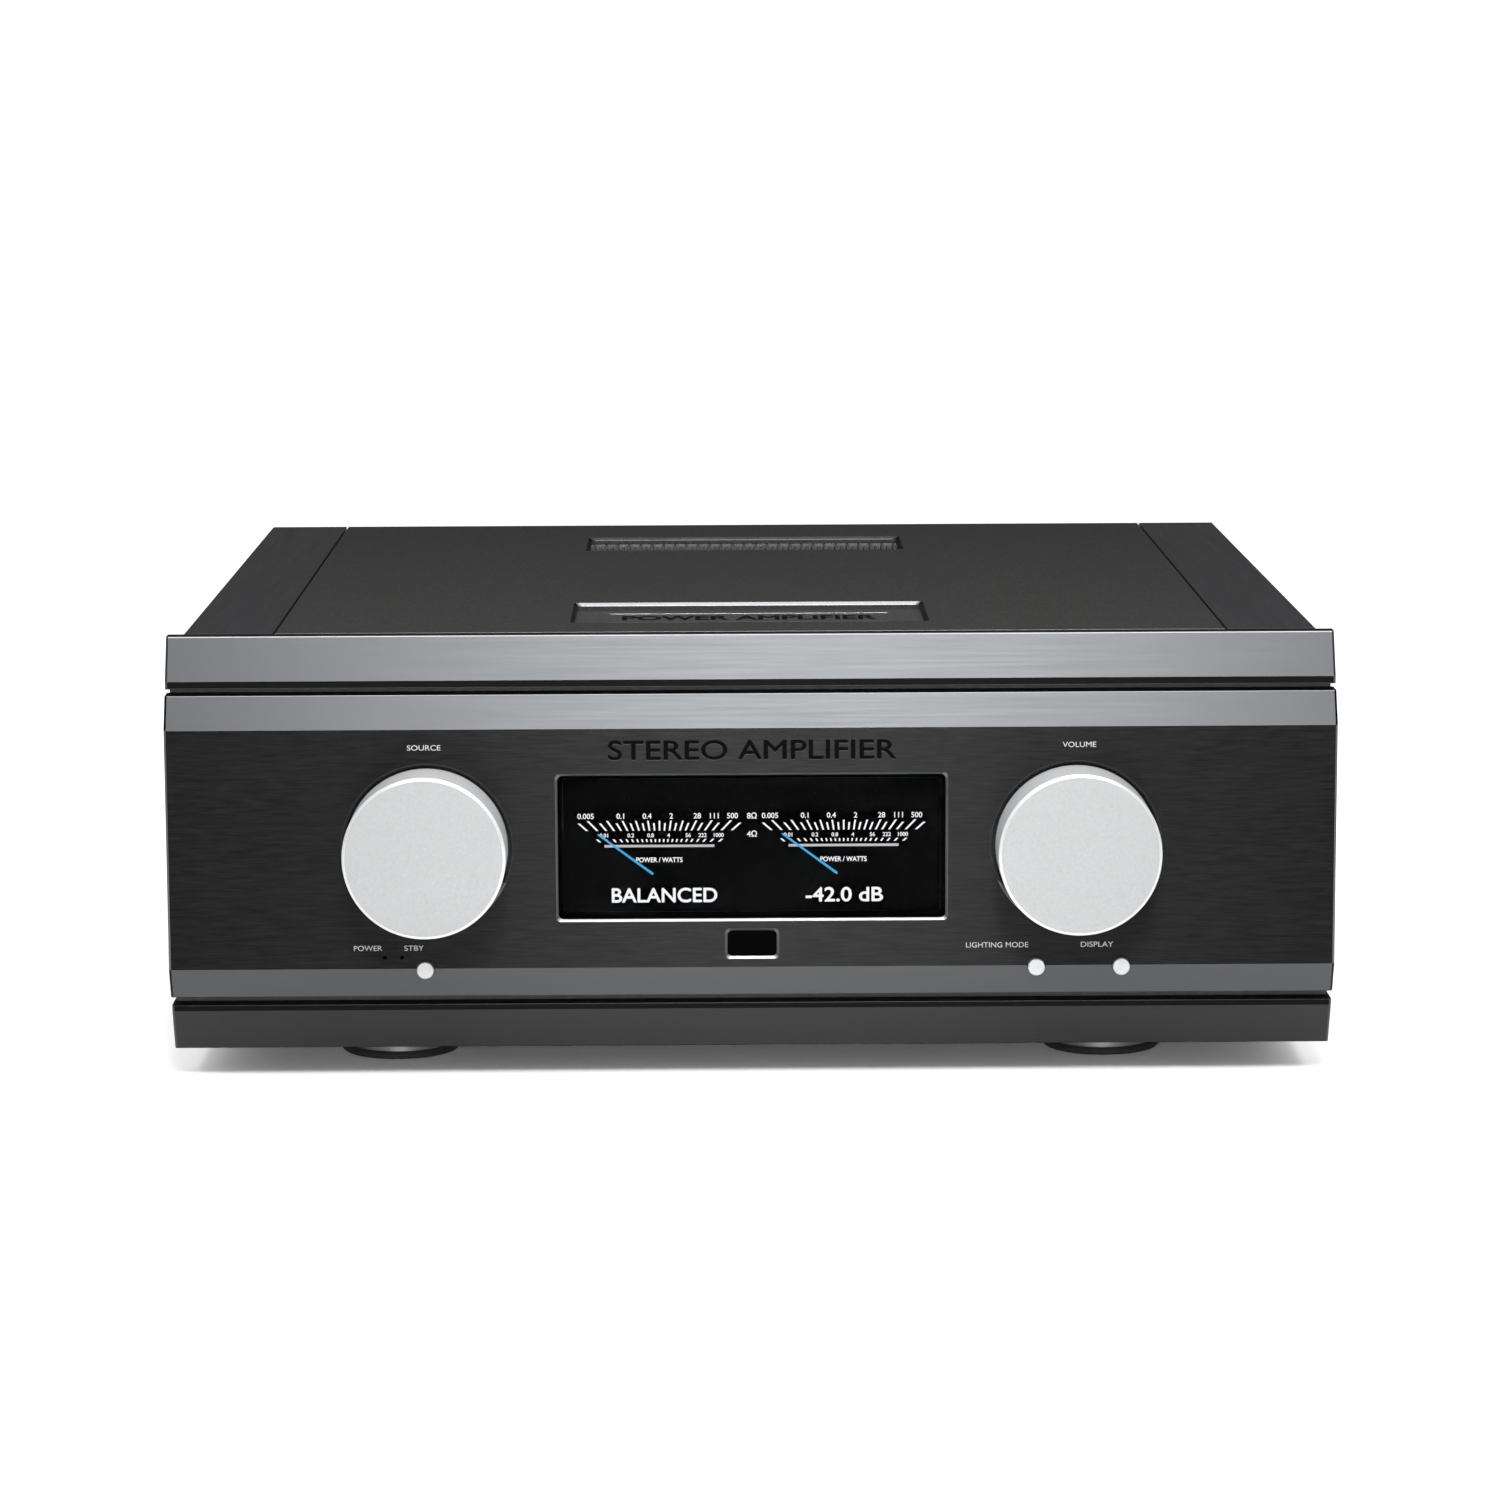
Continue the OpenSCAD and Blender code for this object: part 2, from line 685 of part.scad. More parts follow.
// Upright driver board parallel to a sink, with its components facing away from it
module amplifier_board(board_y, outward) {
    size = [150, 96];
    z_low = sink_z + 14;
    post_y = outward < 0 ? board_y + board_t : board_y - 11.4;
    face = outward < 0 ? board_y : board_y + board_t;
    color("#1f5a34") translate([-size[0] / 2, board_y, z_low]) cube([size[0], board_t, size[1]]);
    color("#2f3338") for (x = [-60, -36, -12, 12, 36, 60], z = [z_low + 20, z_low + 62])
        translate([x, face, z]) rotate([outward < 0 ? 90 : -90, 0, 0]) cylinder(r = 5, h = 7);
    color("#b07a3a") for (x = [-48, 48]) translate([x, face, z_low + 42])
        rotate([outward < 0 ? 90 : -90, 0, 0]) difference() {
            cylinder(r = 9, h = 6);
            translate([0, 0, 1]) cylinder(r = 4, h = 6);
        }
    color("#c9c9c4") for (x = [-70, 70], z = [z_low + 6, z_low + size[1] - 6])
        along_y(x, post_y, z) cylinder(r = 3, h = 11.4, $fn = 6);
}

module amplifier_board_left() {
    amplifier_board(back(sink_mid - fin_d - 0.5 - sink_base_t) - 13, -1);
}

module amplifier_board_right() {
    amplifier_board(back(sink_mid + fin_d + 0.5) + sink_base_t + 11.4, 1);
}

// ---- Power supply ----

module power_transformer() {
    inner_r = 24;
    round_r = 12;
    color("#c98b2b") translate([transformer_pos[0], back(transformer_pos[1]), z_floor + 3])
        rotate_extrude($fn = 96) translate([(transformer_r + inner_r) / 2, transformer_h / 2])
            rounded_rect(transformer_r - inner_r, transformer_h, round_r);
}

// Rubber discs, a dished steel washer and the centre bolt that clamp the transformer
module transformer_mount() {
    bolt_r = 4;
    disc_r = 48;
    z_winding = z_floor + 3 + transformer_h;
    translate([transformer_pos[0], back(transformer_pos[1]), 0]) {
        color("#202020") for (z = [z_floor, z_winding]) translate([0, 0, z]) difference() {
            cylinder(r = disc_r + 4, h = 3);
            translate([0, 0, -1]) cylinder(r = bolt_r + 0.2, h = 5);
        }
        color("#8f9296") translate([0, 0, z_winding + 3]) difference() {
            cylinder(r1 = disc_r, r2 = disc_r - 6, h = 3);
            translate([0, 0, -1]) cylinder(r = bolt_r + 0.2, h = 5);
        }
        color("#b9bcc0") {
            translate([0, 0, z_base - 3.5]) cylinder(r = 9, h = 3.5);
            translate([0, 0, z_base - eps]) cylinder(r = bolt_r, h = transformer_h + 24);
            translate([0, 0, z_winding + 6]) cylinder(r = 8, h = 6, $fn = 6);
        }
    }
}

module reservoir_capacitors() {
    for (x = capacitor_xs) translate([x, back(psu_y), psu_z + board_t]) {
        color("#1c2430") rotate_extrude() polygon([
            [0, 0], [capacitor_r, 0], [capacitor_r, capacitor_h - 4], [capacitor_r - 1.5, capacitor_h - 3],
            [capacitor_r, capacitor_h - 2], [capacitor_r - 1, capacitor_h], [capacitor_r - 3, capacitor_h],
            [capacitor_r - 3, capacitor_h - 0.8], [0, capacitor_h - 0.8]
        ]);
    }
}

module power_supply_board() {
    board = [400, 66];
    stand_r = 3.5;
    block_ws = [16, 64, 16];
    block_xs = [-185, 0, 185];
    color("#1f5a34") translate([-board[0] / 2, back(psu_y) - board[1] / 2, psu_z])
        cube([board[0], board[1], board_t]);
    color("#e4e2da") for (i = [0:2])
        translate([block_xs[i] - block_ws[i] / 2, back(psu_y) - board[1] / 2, psu_z + board_t])
            cube([block_ws[i], block_d, block_h]);
    color("#b9bcc0") for (x = [-192, -130, -70, 70, 130, 192], y = [-29, 29])
        translate([x, back(psu_y) + y, z_floor]) cylinder(r = stand_r, h = psu_z - z_floor, $fn = 6);
}

module rectifier_bridges() {
    size = [28, 28, 10];
    for (x = bridge_xs) translate([x - size[0] / 2, back(180), z_floor]) {
        color("#151515") difference() {
            cube(size);
            translate([size[0] / 2, size[1] / 2, -1]) cylinder(r = 2.2, h = 12);
        }
        color("#d0d0cc") for (i = [0, 1], j = [0, 1])
            translate([6 + i * 15, 6 + j * 15, size[2] - eps]) cube([1, 5, 8]);
    }
}

// ---- Rear connections ----

module input_board() {
    z_low = 110;
    color("#1f5a34") translate([-134, y_rear_in - 14, z_low]) cube([206, board_t, 58]);
    color("#303030") {
        for (x = [-118, -82, -46]) translate([x, y_rear_in - 17, z_low + 36]) cube([14, 3, 9]);
        translate([2, y_rear_in - 19, z_low + 2]) cube([26, 5, 8]);
    }
}

// Twelve phono sockets: insulated flange outside, plated ring, centre contact and a body on the board
module rca_sockets() {
    ring_bore = 3.1;
    for (x = rca_xs, z = rca_zs) {
        color("#d8d8d6") along_y(x, y_rear, z) difference() {
            cylinder(r = 6.4, h = 1.4);
            translate([0, 0, -1]) cylinder(r = rca_r - 0.01, h = 4);
        }
        color("#caa75a") along_y(x, y_rear_in - 12.4, z) difference() {
            union() {
                cylinder(r = 5, h = 12.4 + rear_panel_t);
                cylinder(r = rca_r, h = 12.4 + rear_panel_t + rca_out);
            }
            translate([0, 0, 12.4 + rear_panel_t + rca_out - 8]) cylinder(r = ring_bore, h = 9);
        }
        color("#eeeeee") along_y(x, y_rear + rca_out - 8, z) difference() {
            cylinder(r = ring_bore, h = 7);
            translate([0, 0, -0.5]) cylinder(r = 1.6, h = 9);
        }
    }
}

// Cutter for the slot that a release tab moves in
module latch_slot(x) {
    translate([x - 3.6, y_rear - latch_inner - 1, xlr_z + latch_z - latch_travel - 0.4])
        cube([7.2, 30, latch_travel + 3.7]);
}

// Two three-pole sockets: a flange and a shell around a core with three contact holes
module xlr_sockets() {
    depth = 22;
    shell_out = 2.5;
    flange_t = 1.8;
    for (x = xlr_xs) {
        color("#b9bcc0") difference() {
            upright_plate(x, y_rear, xlr_z, 26, 31, flange_t, 3);
            along_y(x, y_rear - 1, xlr_z) cylinder(r = xlr_shell_r + 0.02, h = flange_t + 2);
            latch_slot(x);
            for (corner = xlr_corners)
                along_y(x + corner[0], y_rear - 1, xlr_z + corner[1]) cylinder(r = 1.7, h = flange_t + 2);
        }
        color("#aeb1b5") difference() {
            along_y(x, y_rear - depth, xlr_z) cylinder(r = xlr_shell_r, h = depth + shell_out);
            along_y(x, y_rear - depth + 6, xlr_z) cylinder(r = xlr_r, h = depth);
            latch_slot(x);
        }
        color("#202020") along_y(x, y_rear - depth + 6 - eps, xlr_z) difference() {
            cylinder(r = xlr_core_r, h = depth - 5.4);
            for (angle = [30, 150, 270])
                rotate([0, 0, angle]) translate([4, 0, 3]) cylinder(r = 1.3, h = depth);
        }
    }
}

// Sprung release tab above a three-pole socket
module xlr_latch(x) {
    tab = [6.4, latch_inner + 4.5, 2.6];
    lip = [tab[0], 1.6, 2.9];
    color("#9a9da1") translate([x - tab[0] / 2, y_rear - latch_inner, xlr_z + latch_z]) {
        cube(tab);
        translate([0, tab[1] - lip[1], 0]) cube(lip);
    }
}

module xlr_latch_left() {
    xlr_latch(xlr_xs[0]);
}

module xlr_latch_right() {
    xlr_latch(xlr_xs[1]);
}

module trigger_jacks() {
    for (x = trigger_xs) {
        color("#b9bcc0") along_y(x, y_rear_in - 12, trigger_z) difference() {
            union() {
                cylinder(r = 3, h = 12 + rear_panel_t + 3.4);
                translate([0, 0, 12 + rear_panel_t]) cylinder(r = 5, h = 2.2, $fn = 6);
            }
            translate([0, 0, 3]) cylinder(r = trigger_r, h = 30);
        }
        color("#202020") translate([x - 5, y_rear_in - 12.4, trigger_z - 7]) difference() {
            cube([10, 10, 12]);
            translate([5, -1, 7]) rotate([-90, 0, 0]) cylinder(r = 3.02, h = 15);
        }
    }
}

// Fixed parts of the speaker terminals: insulated flange, threaded stem with a plug bore, inner nut and tag
module terminal_bases() {
    flange_r = 10.5;
    stem_end = terminal_out - 0.5;
    inner = 10;
    for (x = terminal_xs) {
        color("#202020") along_y(x, y_rear_in - 3, terminal_z) difference() {
            union() {
                cylinder(r = 6, h = rear_panel_t + 3 + eps);
                translate([0, 0, rear_panel_t + 3]) cylinder(r = flange_r, h = flange_t);
            }
            translate([0, 0, -1]) cylinder(r = stem_r + 0.01, h = 20);
        }
        color("#c9a24a") difference() {
            along_y(x, y_rear_in - inner, terminal_z)
                cylinder(r = stem_r, h = inner + y_back - y_rear_in + stem_end);
            along_y(x, y_back + stem_end - banana_l, terminal_z) cylinder(r = banana_r, h = banana_l + 1);
        }
        color("#b9bcc0") along_y(x, y_rear_in - 6, terminal_z) difference() {
            cylinder(r = 7, h = 3, $fn = 6);
            translate([0, 0, -1]) cylinder(r = stem_r + 0.01, h = 6);
        }
    }
}

// Clamping washer that the cap pushes along the stem
module terminal_washer(x) {
    color("#d9b65c") along_y(x, y_rear + flange_t + 0.1, terminal_z) difference() {
        cylinder(r = 8.4, h = washer_t);
        translate([0, 0, -1]) cylinder(r = stem_r + stem_gap, h = washer_t + 2);
    }
}

// Fluted cap that screws along the stem and leaves the stem's plug bore open
module terminal_cap(x) {
    flutes = 12;
    cap_r = 8.6;
    start = y_rear + flange_t + 0.1 + washer_t + 0.02;
    length = y_back + terminal_out - start;
    color("#2a2a2c") along_y(x, start, terminal_z) difference() {
        union() {
            cylinder(r = cap_r, h = length - 1);
            translate([0, 0, length - 1 - eps]) cylinder(r1 = cap_r, r2 = cap_r - 1, h = 1 + eps);
        }
        translate([0, 0, -1]) cylinder(r = stem_r + stem_gap, h = length + 2);
        for (i = [0:flutes - 1])
            rotate([0, 0, i * 360 / flutes]) translate([cap_r + 0.6, 0, 3]) cylinder(r = 1.4, h = length);
    }
}

module left_minus_washer() {
    terminal_washer(terminal_xs[0]);
}

module left_minus_cap() {
    terminal_cap(terminal_xs[0]);
}

module left_plus_washer() {
    terminal_washer(terminal_xs[1]);
}

module left_plus_cap() {
    terminal_cap(terminal_xs[1]);
}

module right_plus_washer() {
    terminal_washer(terminal_xs[2]);
}

module right_plus_cap() {
    terminal_cap(terminal_xs[2]);
}

module right_minus_washer() {
    terminal_washer(terminal_xs[3]);
}

module right_minus_cap() {
    terminal_cap(terminal_xs[3]);
}

// Mains inlet: flange, recess with three blades and a slot for the fuse drawer below it
module mains_inlet() {
    depth = 22;
    blade = [2, 11, 5];
    blade_y = y_rear + 3 - inlet_recess[2] - eps;
    slot = [drawer_size[0] + 0.6, drawer_size[2] + 0.6];
    color("#1a1a1b") difference() {
        union() {
            upright_plate(inlet_x, y_rear, inlet_z, 32, 46, 3, 3);
            translate([inlet_x - inlet_body[0] / 2, y_rear - depth, inlet_z - inlet_body[1] / 2])
                cube([inlet_body[0], depth + 1, inlet_body[1]]);
        }
        along_y(inlet_x, y_rear + 3 - inlet_recess[2], inlet_recess_z) linear_extrude(height = 30) polygon([
            [-inlet_recess[0] / 2, inlet_recess[1] / 2], [-inlet_recess[0] / 2, 4 - inlet_recess[1] / 2],
            [4 - inlet_recess[0] / 2, -inlet_recess[1] / 2], [inlet_recess[0] / 2 - 4, -inlet_recess[1] / 2],
            [inlet_recess[0] / 2, 4 - inlet_recess[1] / 2], [inlet_recess[0] / 2, inlet_recess[1] / 2]
        ]);
        translate([inlet_x - slot[0] / 2, y_rear - drawer_size[1] + 2.5, drawer_z - slot[1] / 2])
            cube([slot[0], 40, slot[1]]);
    }
    color("#c9ccd0") for (pole = [[-7, -1.5], [7, -1.5], [0, 2.5]])
        translate([inlet_x + pole[0] - blade[0] / 2, blade_y, inlet_recess_z + pole[1] - blade[2] / 2])
            cube(blade);
}

// Fuse drawer with a grip ledge and a cradle that holds one glass fuse
module fuse_drawer() {
    front_y = y_rear + 3.6;
    fuse_r = 2.6;
    fuse_l = 15.4;
    fuse_y = front_y - 10;
    color("#242426") difference() {
        union() {
            translate([inlet_x - drawer_size[0] / 2, front_y - drawer_size[1], drawer_z - drawer_size[2] / 2])
                cube(drawer_size);
            translate([inlet_x - 5, front_y - eps, drawer_z + 1.5]) cube([10, 1.4, 2]);
        }
        translate([inlet_x - fuse_l / 2 - 0.3, fuse_y, drawer_z]) rotate([0, 90, 0])
            cylinder(r = fuse_r + 0.15, h = fuse_l + 0.6);
        translate([inlet_x - fuse_l / 2 - 0.3, fuse_y - fuse_r - 0.15, drawer_z])
            cube([fuse_l + 0.6, 2 * fuse_r + 0.3, drawer_size[2]]);
    }
    color("#d7dbe0") translate([inlet_x - fuse_l / 2, fuse_y, drawer_z]) rotate([0, 90, 0])
        cylinder(r = fuse_r, h = fuse_l);
}

// Mains switch: frame with a window for the rocker and two pivot holes
module mains_switch_frame() {
    window = [14.6, 17.2];
    depth = 16;
    color("#1a1a1b") difference() {
        union() {
            upright_plate(inlet_x, y_rear, switch_z, 28, 24, 1.8, 1.5);
            translate([inlet_x - switch_body_size[0] / 2, y_rear - depth, switch_z - switch_body_size[1] / 2])
                cube([switch_body_size[0], depth + 0.5, switch_body_size[1]]);
        }
        translate([inlet_x - window[0] / 2, y_rear - depth + 3, switch_z - window[1] / 2])
            cube([window[0], 30, window[1]]);
        translate([inlet_x - 10, y_rear - rocker_in, switch_z]) rotate([0, 90, 0])
            cylinder(r = rocker_pin_r + running_gap, h = 20);
    }
}

// Rocker with a shallow V face, at rest with its upper half pressed in
module mains_rocker() {
    half_h = 6.9;
    width = 13.8;
    pin_l = 18;
    color("#2a2a2c") translate([inlet_x, y_rear - rocker_in, switch_z]) {
        rotate([rocker_tilt, 0, 0]) x_extrude(width) polygon([
            [-3.5, -3], [4.6, -half_h], [7.4, -half_h], [5.6, 0], [7.4, half_h], [4.6, half_h], [-3.5, 3]
        ]);
        rotate([0, 90, 0]) cylinder(r = rocker_pin_r, h = pin_l, center = true);
    }
}

// ---- Fasteners and wiring ----

module cover_screws() {
    color("#101010") for (x = cover_screw_xs) along_y(x, y_back, cover_screw_z) pan_screw(1.2, 8, 3, 1.8);
}

// Screws of the rear panel, the sockets, the base, the feet and the front stack
module panel_screws() {
    color("#101010") {
        for (side = [-1, 1], z = rear_screw_z)
            along_y(side * (side_x - side_t - channel / 2), y_rear, z) pan_screw(1.4, 12, 3, 1.8);
        for (x = xlr_xs, corner = xlr_corners)
            along_y(x + corner[0], y_rear + 1.8, xlr_z + corner[1]) pan_screw(1.2, 8, 2.4, 1.4);
        for (x = base_screw_xs) along_y(x, y_rear, base_screw_z) pan_screw(1.6, 6, 3, 1.8);
        for (side = [-1, 1], y = side_screw_ys)
            translate([side * (side_x - side_t - side_screw_inset), back(y), z_base])
                rotate([180, 0, 0]) pan_screw(1.4, 8, 3, 1.8);
        for (x = stack_screw_xs, z = stack_screw_zs) along_y(x, y_stack, z) pan_screw(2, 14, 4, 2.6);
        for (x = [-foot_x, foot_x], y = foot_ys)
            translate([x, back(y), z_floor]) pan_screw(2.5, 6, 4.5, 2.8);
    }
}

// Wire along a list of points, as eight-sided lengths that run a little past each bend
module wire(points, r) {
    over = r * 0.4;
    for (i = [0:len(points) - 2]) {
        run = points[i + 1] - points[i];
        length = norm(run);
        translate(points[i]) rotate([0, acos(run[2] / length), atan2(run[1], run[0])])
            translate([0, 0, -over]) cylinder(r = r, h = length + 2 * over, $fn = 8);
    }
}

// Leads inside the cabinet: speaker outputs, transformer windings and mains
module wiring_looms() {
    speaker_r = 2;
    winding_r = 1.5;
    board_edge = 76;
    end_y = y_rear_in - 12.5;
    low = z_floor + 10;
    left_board_y = back(302.8);
    right_board_y = back(399.2);
    for (i = [0, 1]) {
        x = terminal_xs[i];
        run_z = 50 + 10 * i;
        side_x_run = -92 - 8 * i;
        color(i == 0 ? "#202020" : "#a02020") wire([
            [-board_edge, left_board_y, run_z], [side_x_run, left_board_y, run_z],
            [side_x_run, back(340), low + 8 * i], [x, back(395), low + 8 * i], [x, end_y, terminal_z]
        ], speaker_r);
    }
    for (i = [2, 3]) {
        x = terminal_xs[i];
        run_z = 42 + 10 * (i - 2);
        color(i == 3 ? "#202020" : "#a02020") wire([
            [board_edge, right_board_y, run_z], [x, right_board_y, run_z], [x, end_y, terminal_z]
        ], speaker_r);
    }
    for (x = [-24, -8, 8, 24]) color("#b8862a") {
        start_y = transformer_pos[1] + sqrt(pow(transformer_r, 2) - x * x) + 2.4;
        end_z = psu_z + board_t + block_h + 0.7;
        wire([
            [x, back(start_y), 50], [x, back(psu_y - 29.5), 50], [x, back(psu_y - 29.5), end_z]
        ], winding_r);
    }
    for (side = [-1, 1]) color("#6a4a2a") wire([
        [inlet_x + 5 * side, y_rear - 24, inlet_z], [inlet_x + 5 * side, back(388), low + 3],
        [209.5 + 2.4 * side, back(345), low], [209.5 + 2.4 * side, back(168 - 5 * side), low],
        [82, back(168 - 5 * side), low]
    ], winding_r);
}

// Flat cable from the control board, along one side of the cabinet and back to the input board
module display_ribbon() {
    t = 0.8;
    w = 26;
    z = control_z + 11.5;
    start_x = 44;
    turn_y = back(45);
    x_run = 128.5;
    end_x = 4;
    end_y = y_rear_in - 20;
    color("#8d9096") {
        translate([start_x, back(24), z]) cube([w, turn_y - back(24) + t, t]);
        translate([start_x, turn_y, z]) cube([x_run - start_x + t, t, w]);
        translate([x_run, turn_y, z]) cube([t, end_y - turn_y + t, w]);
        translate([end_x, end_y, z]) cube([x_run + t - end_x, t, w]);
    }
}

front_fascia();
fascia_top_bar();
fascia_bottom_bar();
fascia_backplate();
display_window();
display_module();
ir_window();
status_leds();
control_board();
source_encoder();
volume_encoder();
button_switches();
source_knob();
source_shaft();
volume_knob();
volume_shaft();
standby_button();
lighting_button();
display_button();
top_cover();
name_plaque();
left_side_panel();
right_side_panel();
chassis_base();
rear_panel();
feet();
foot_pads();
heat_sink_front();
heat_sink_rear();
power_transformer();
transformer_mount();
reservoir_capacitors();
rectifier_bridges();
power_supply_board();
amplifier_board_left();
amplifier_board_right();
output_transistors();
input_board();
rca_sockets();
xlr_sockets();
xlr_latch_left();
xlr_latch_right();
trigger_jacks();
terminal_bases();
left_minus_washer();
left_minus_cap();
left_plus_washer();
left_plus_cap();
right_plus_washer();
right_plus_cap();
right_minus_washer();
right_minus_cap();
mains_inlet();
fuse_drawer();
mains_switch_frame();
mains_rocker();
cover_screws();
panel_screws();
wiring_looms();
display_ribbon();
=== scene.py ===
import math
import bmesh
import bpy
from mathutils import Matrix, Vector


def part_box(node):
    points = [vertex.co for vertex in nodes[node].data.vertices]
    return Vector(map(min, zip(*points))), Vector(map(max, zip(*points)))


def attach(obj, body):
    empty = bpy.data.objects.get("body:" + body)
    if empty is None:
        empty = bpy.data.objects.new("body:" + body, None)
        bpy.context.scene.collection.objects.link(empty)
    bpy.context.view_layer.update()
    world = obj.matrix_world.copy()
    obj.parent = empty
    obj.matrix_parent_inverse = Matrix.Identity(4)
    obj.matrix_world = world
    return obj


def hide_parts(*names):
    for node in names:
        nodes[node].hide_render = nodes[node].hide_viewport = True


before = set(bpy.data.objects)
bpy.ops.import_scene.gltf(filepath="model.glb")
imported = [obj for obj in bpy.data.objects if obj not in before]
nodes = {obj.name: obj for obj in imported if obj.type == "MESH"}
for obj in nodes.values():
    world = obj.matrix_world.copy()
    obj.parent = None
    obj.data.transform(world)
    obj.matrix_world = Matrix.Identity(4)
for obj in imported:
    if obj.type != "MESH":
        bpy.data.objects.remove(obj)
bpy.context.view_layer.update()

# ---------------------------------------------------------------- places and thicknesses, in metres
PICTURE_GAP = 0.00012  # between the pane and the marks behind it
SKIN = 4e-5  # thickness of printed letters
PICTURE_SKIN = 5e-5  # thickness of the lit marks
FACE_LOW, FACE_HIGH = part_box("front_fascia")
Y_FACE = FACE_LOW[1]
Y_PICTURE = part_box("display_window")[1][1] + PICTURE_GAP
Y_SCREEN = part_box("display_module")[0][1]
COVER_LOW, COVER_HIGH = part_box("top_cover")
PLAQUE_LOW, PLAQUE_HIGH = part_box("name_plaque")
Y_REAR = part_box("rear_panel")[1][1]


# ---------------------------------------------------------------- materials
def shader(name, colour, metallic=0.0, roughness=0.5, **sockets):
    """A Principled material whose even values are set on the shader's own sockets."""
    mat = bpy.data.materials.new(name)
    mat.use_nodes = True
    bsdf = mat.node_tree.nodes["Principled BSDF"]
    bsdf.inputs["Base Color"].default_value = (*colour, 1.0)
    bsdf.inputs["Metallic"].default_value = metallic
    bsdf.inputs["Roughness"].default_value = roughness
    for key, value in sockets.items():
        bsdf.inputs[key.replace("_", " ")].default_value = value
    mat.diffuse_color = (*colour, 1.0)
    return mat


def noise(mat, scale, detail=3.0, rough=0.55):
    """Noise in object space; scale is cycles per metre along X, Y and Z."""
    nt = mat.node_tree
    coords = nt.nodes.new("ShaderNodeTexCoord")
    mapping = nt.nodes.new("ShaderNodeMapping")
    mapping.inputs["Scale"].default_value = scale
    tex = nt.nodes.new("ShaderNodeTexNoise")
    tex.inputs["Scale"].default_value = 1.0
    tex.inputs["Detail"].default_value = detail
    tex.inputs["Roughness"].default_value = rough
    nt.links.new(coords.outputs["Object"], mapping.inputs["Vector"])
    nt.links.new(mapping.outputs["Vector"], tex.inputs["Vector"])
    return tex


def ramp(mat, tex, stops):
    """Colour ramp fed by a noise; stops are (position, colour) pairs."""
    node = mat.node_tree.nodes.new("ShaderNodeValToRGB")
    els = node.color_ramp.elements
    els[0].position, els[0].color = stops[0][0], (*stops[0][1], 1.0)
    els[1].position, els[1].color = stops[-1][0], (*stops[-1][1], 1.0)
    for position, colour in stops[1:-1]:
        els.new(position).color = (*colour, 1.0)
    mat.node_tree.links.new(tex.outputs["Fac"], node.inputs["Fac"])
    return node


def colour_from(mat, scale, low, high, spread=(0.3, 0.7), detail=3.0):
    """Colour that wanders between two tones."""
    node = ramp(mat, noise(mat, scale, detail), [(spread[0], low), (spread[1], high)])
    nt = mat.node_tree
    nt.links.new(node.outputs["Color"], nt.nodes["Principled BSDF"].inputs["Base Color"])
    return mat


def roughness_from(mat, scale, low, high, spread=(0.3, 0.7), detail=3.0):
    """Roughness that wanders between two values."""
    nt = mat.node_tree
    span = nt.nodes.new("ShaderNodeMapRange")
    span.inputs["From Min"].default_value, span.inputs["From Max"].default_value = spread
    span.inputs["To Min"].default_value, span.inputs["To Max"].default_value = low, high
    nt.links.new(noise(mat, scale, detail).outputs["Fac"], span.inputs["Value"])
    nt.links.new(span.outputs["Result"], nt.nodes["Principled BSDF"].inputs["Roughness"])
    return mat


def across(mat):
    """Grain direction along X, for a brushed finish on an upright face."""
    nt = mat.node_tree
    tangent = nt.nodes.new("ShaderNodeTangent")
    tangent.direction_type, tangent.axis = "RADIAL", "Z"
    nt.links.new(tangent.outputs["Tangent"], nt.nodes["Principled BSDF"].inputs["Tangent"])


def bump_from(mat, scale, distance, strength=1.0, detail=2.0):
    """Fine relief; distance is its height in metres."""
    nt = mat.node_tree
    bump = nt.nodes.new("ShaderNodeBump")
    bump.inputs["Strength"].default_value = strength
    bump.inputs["Distance"].default_value = distance
    nt.links.new(noise(mat, scale, detail).outputs["Fac"], bump.inputs["Height"])
    nt.links.new(bump.outputs["Normal"], nt.nodes["Principled BSDF"].inputs["Normal"])
    return mat


def tones(colour, spread):
    """The darkest and lightest tone around a colour."""
    return [tuple(min(1.0, c * k) for c in colour) for k in (1 - spread, 1 + spread)]


def finish_material(name, colour, spread, grain, height, metallic=0.0, rough=(0.4, 0.5), **sockets):
    """A surface whose colour, roughness and relief vary.

    spread is how far the colour strays from its middle, as a part of it; grain is the relief in cycles
    per metre, with colour and roughness on coarser scales; height is the relief in metres; rough is the
    lowest and highest roughness.
    """
    mat = shader(name, colour, metallic, sum(rough) / 2, **sockets)
    colour_scale, roughness_scale = 0.6, 0.35
    low, high = tones(colour, spread)
    colour_from(mat, [g * colour_scale for g in grain], low, high)
    roughness_from(mat, [g * roughness_scale for g in grain], *rough)
    bump_from(mat, grain, height)
    return mat


M = {}
M["brushed"] = finish_material(
    "brushed_black_anodising", colour=(0.0024, 0.0025, 0.0026), spread=0.95, grain=(150, 300, 3600),
    height=1.4e-5, rough=(0.41, 0.49), Specular_IOR_Level=0.068, Anisotropic=1.0,
    Anisotropic_Rotation=0.25)
across(M["brushed"])
M["slope"] = finish_material(
    "satin_black_anodising", colour=(0.0085, 0.0088, 0.0094), spread=0.06, grain=(60, 2400, 2400),
    height=1e-6, rough=(0.37, 0.41), Specular_IOR_Level=0.49, Specular_Tint=(0.93, 0.96, 1.0, 1.0))
# Darker, less reflective copy of the slopes' satin anodising for the bottom bar: painted shade.
M["shaded_skirt"] = finish_material(
    "shaded_satin_anodising", colour=(0.0036, 0.0037, 0.0038), spread=0.06, grain=(60, 2400, 2400),
    height=1e-6, rough=(0.37, 0.41), Specular_IOR_Level=0.22)
# Near-black, barely reflective copy of the anodising: painted shade on lips, groove walls and the cover's
# side bevels.
M["lip"] = finish_material(
    "shaded_black_anodising", colour=(0.0012, 0.0012, 0.0012), spread=0.1, grain=(60, 900, 900),
    height=4e-6, rough=(0.38, 0.46), Specular_IOR_Level=0.03)
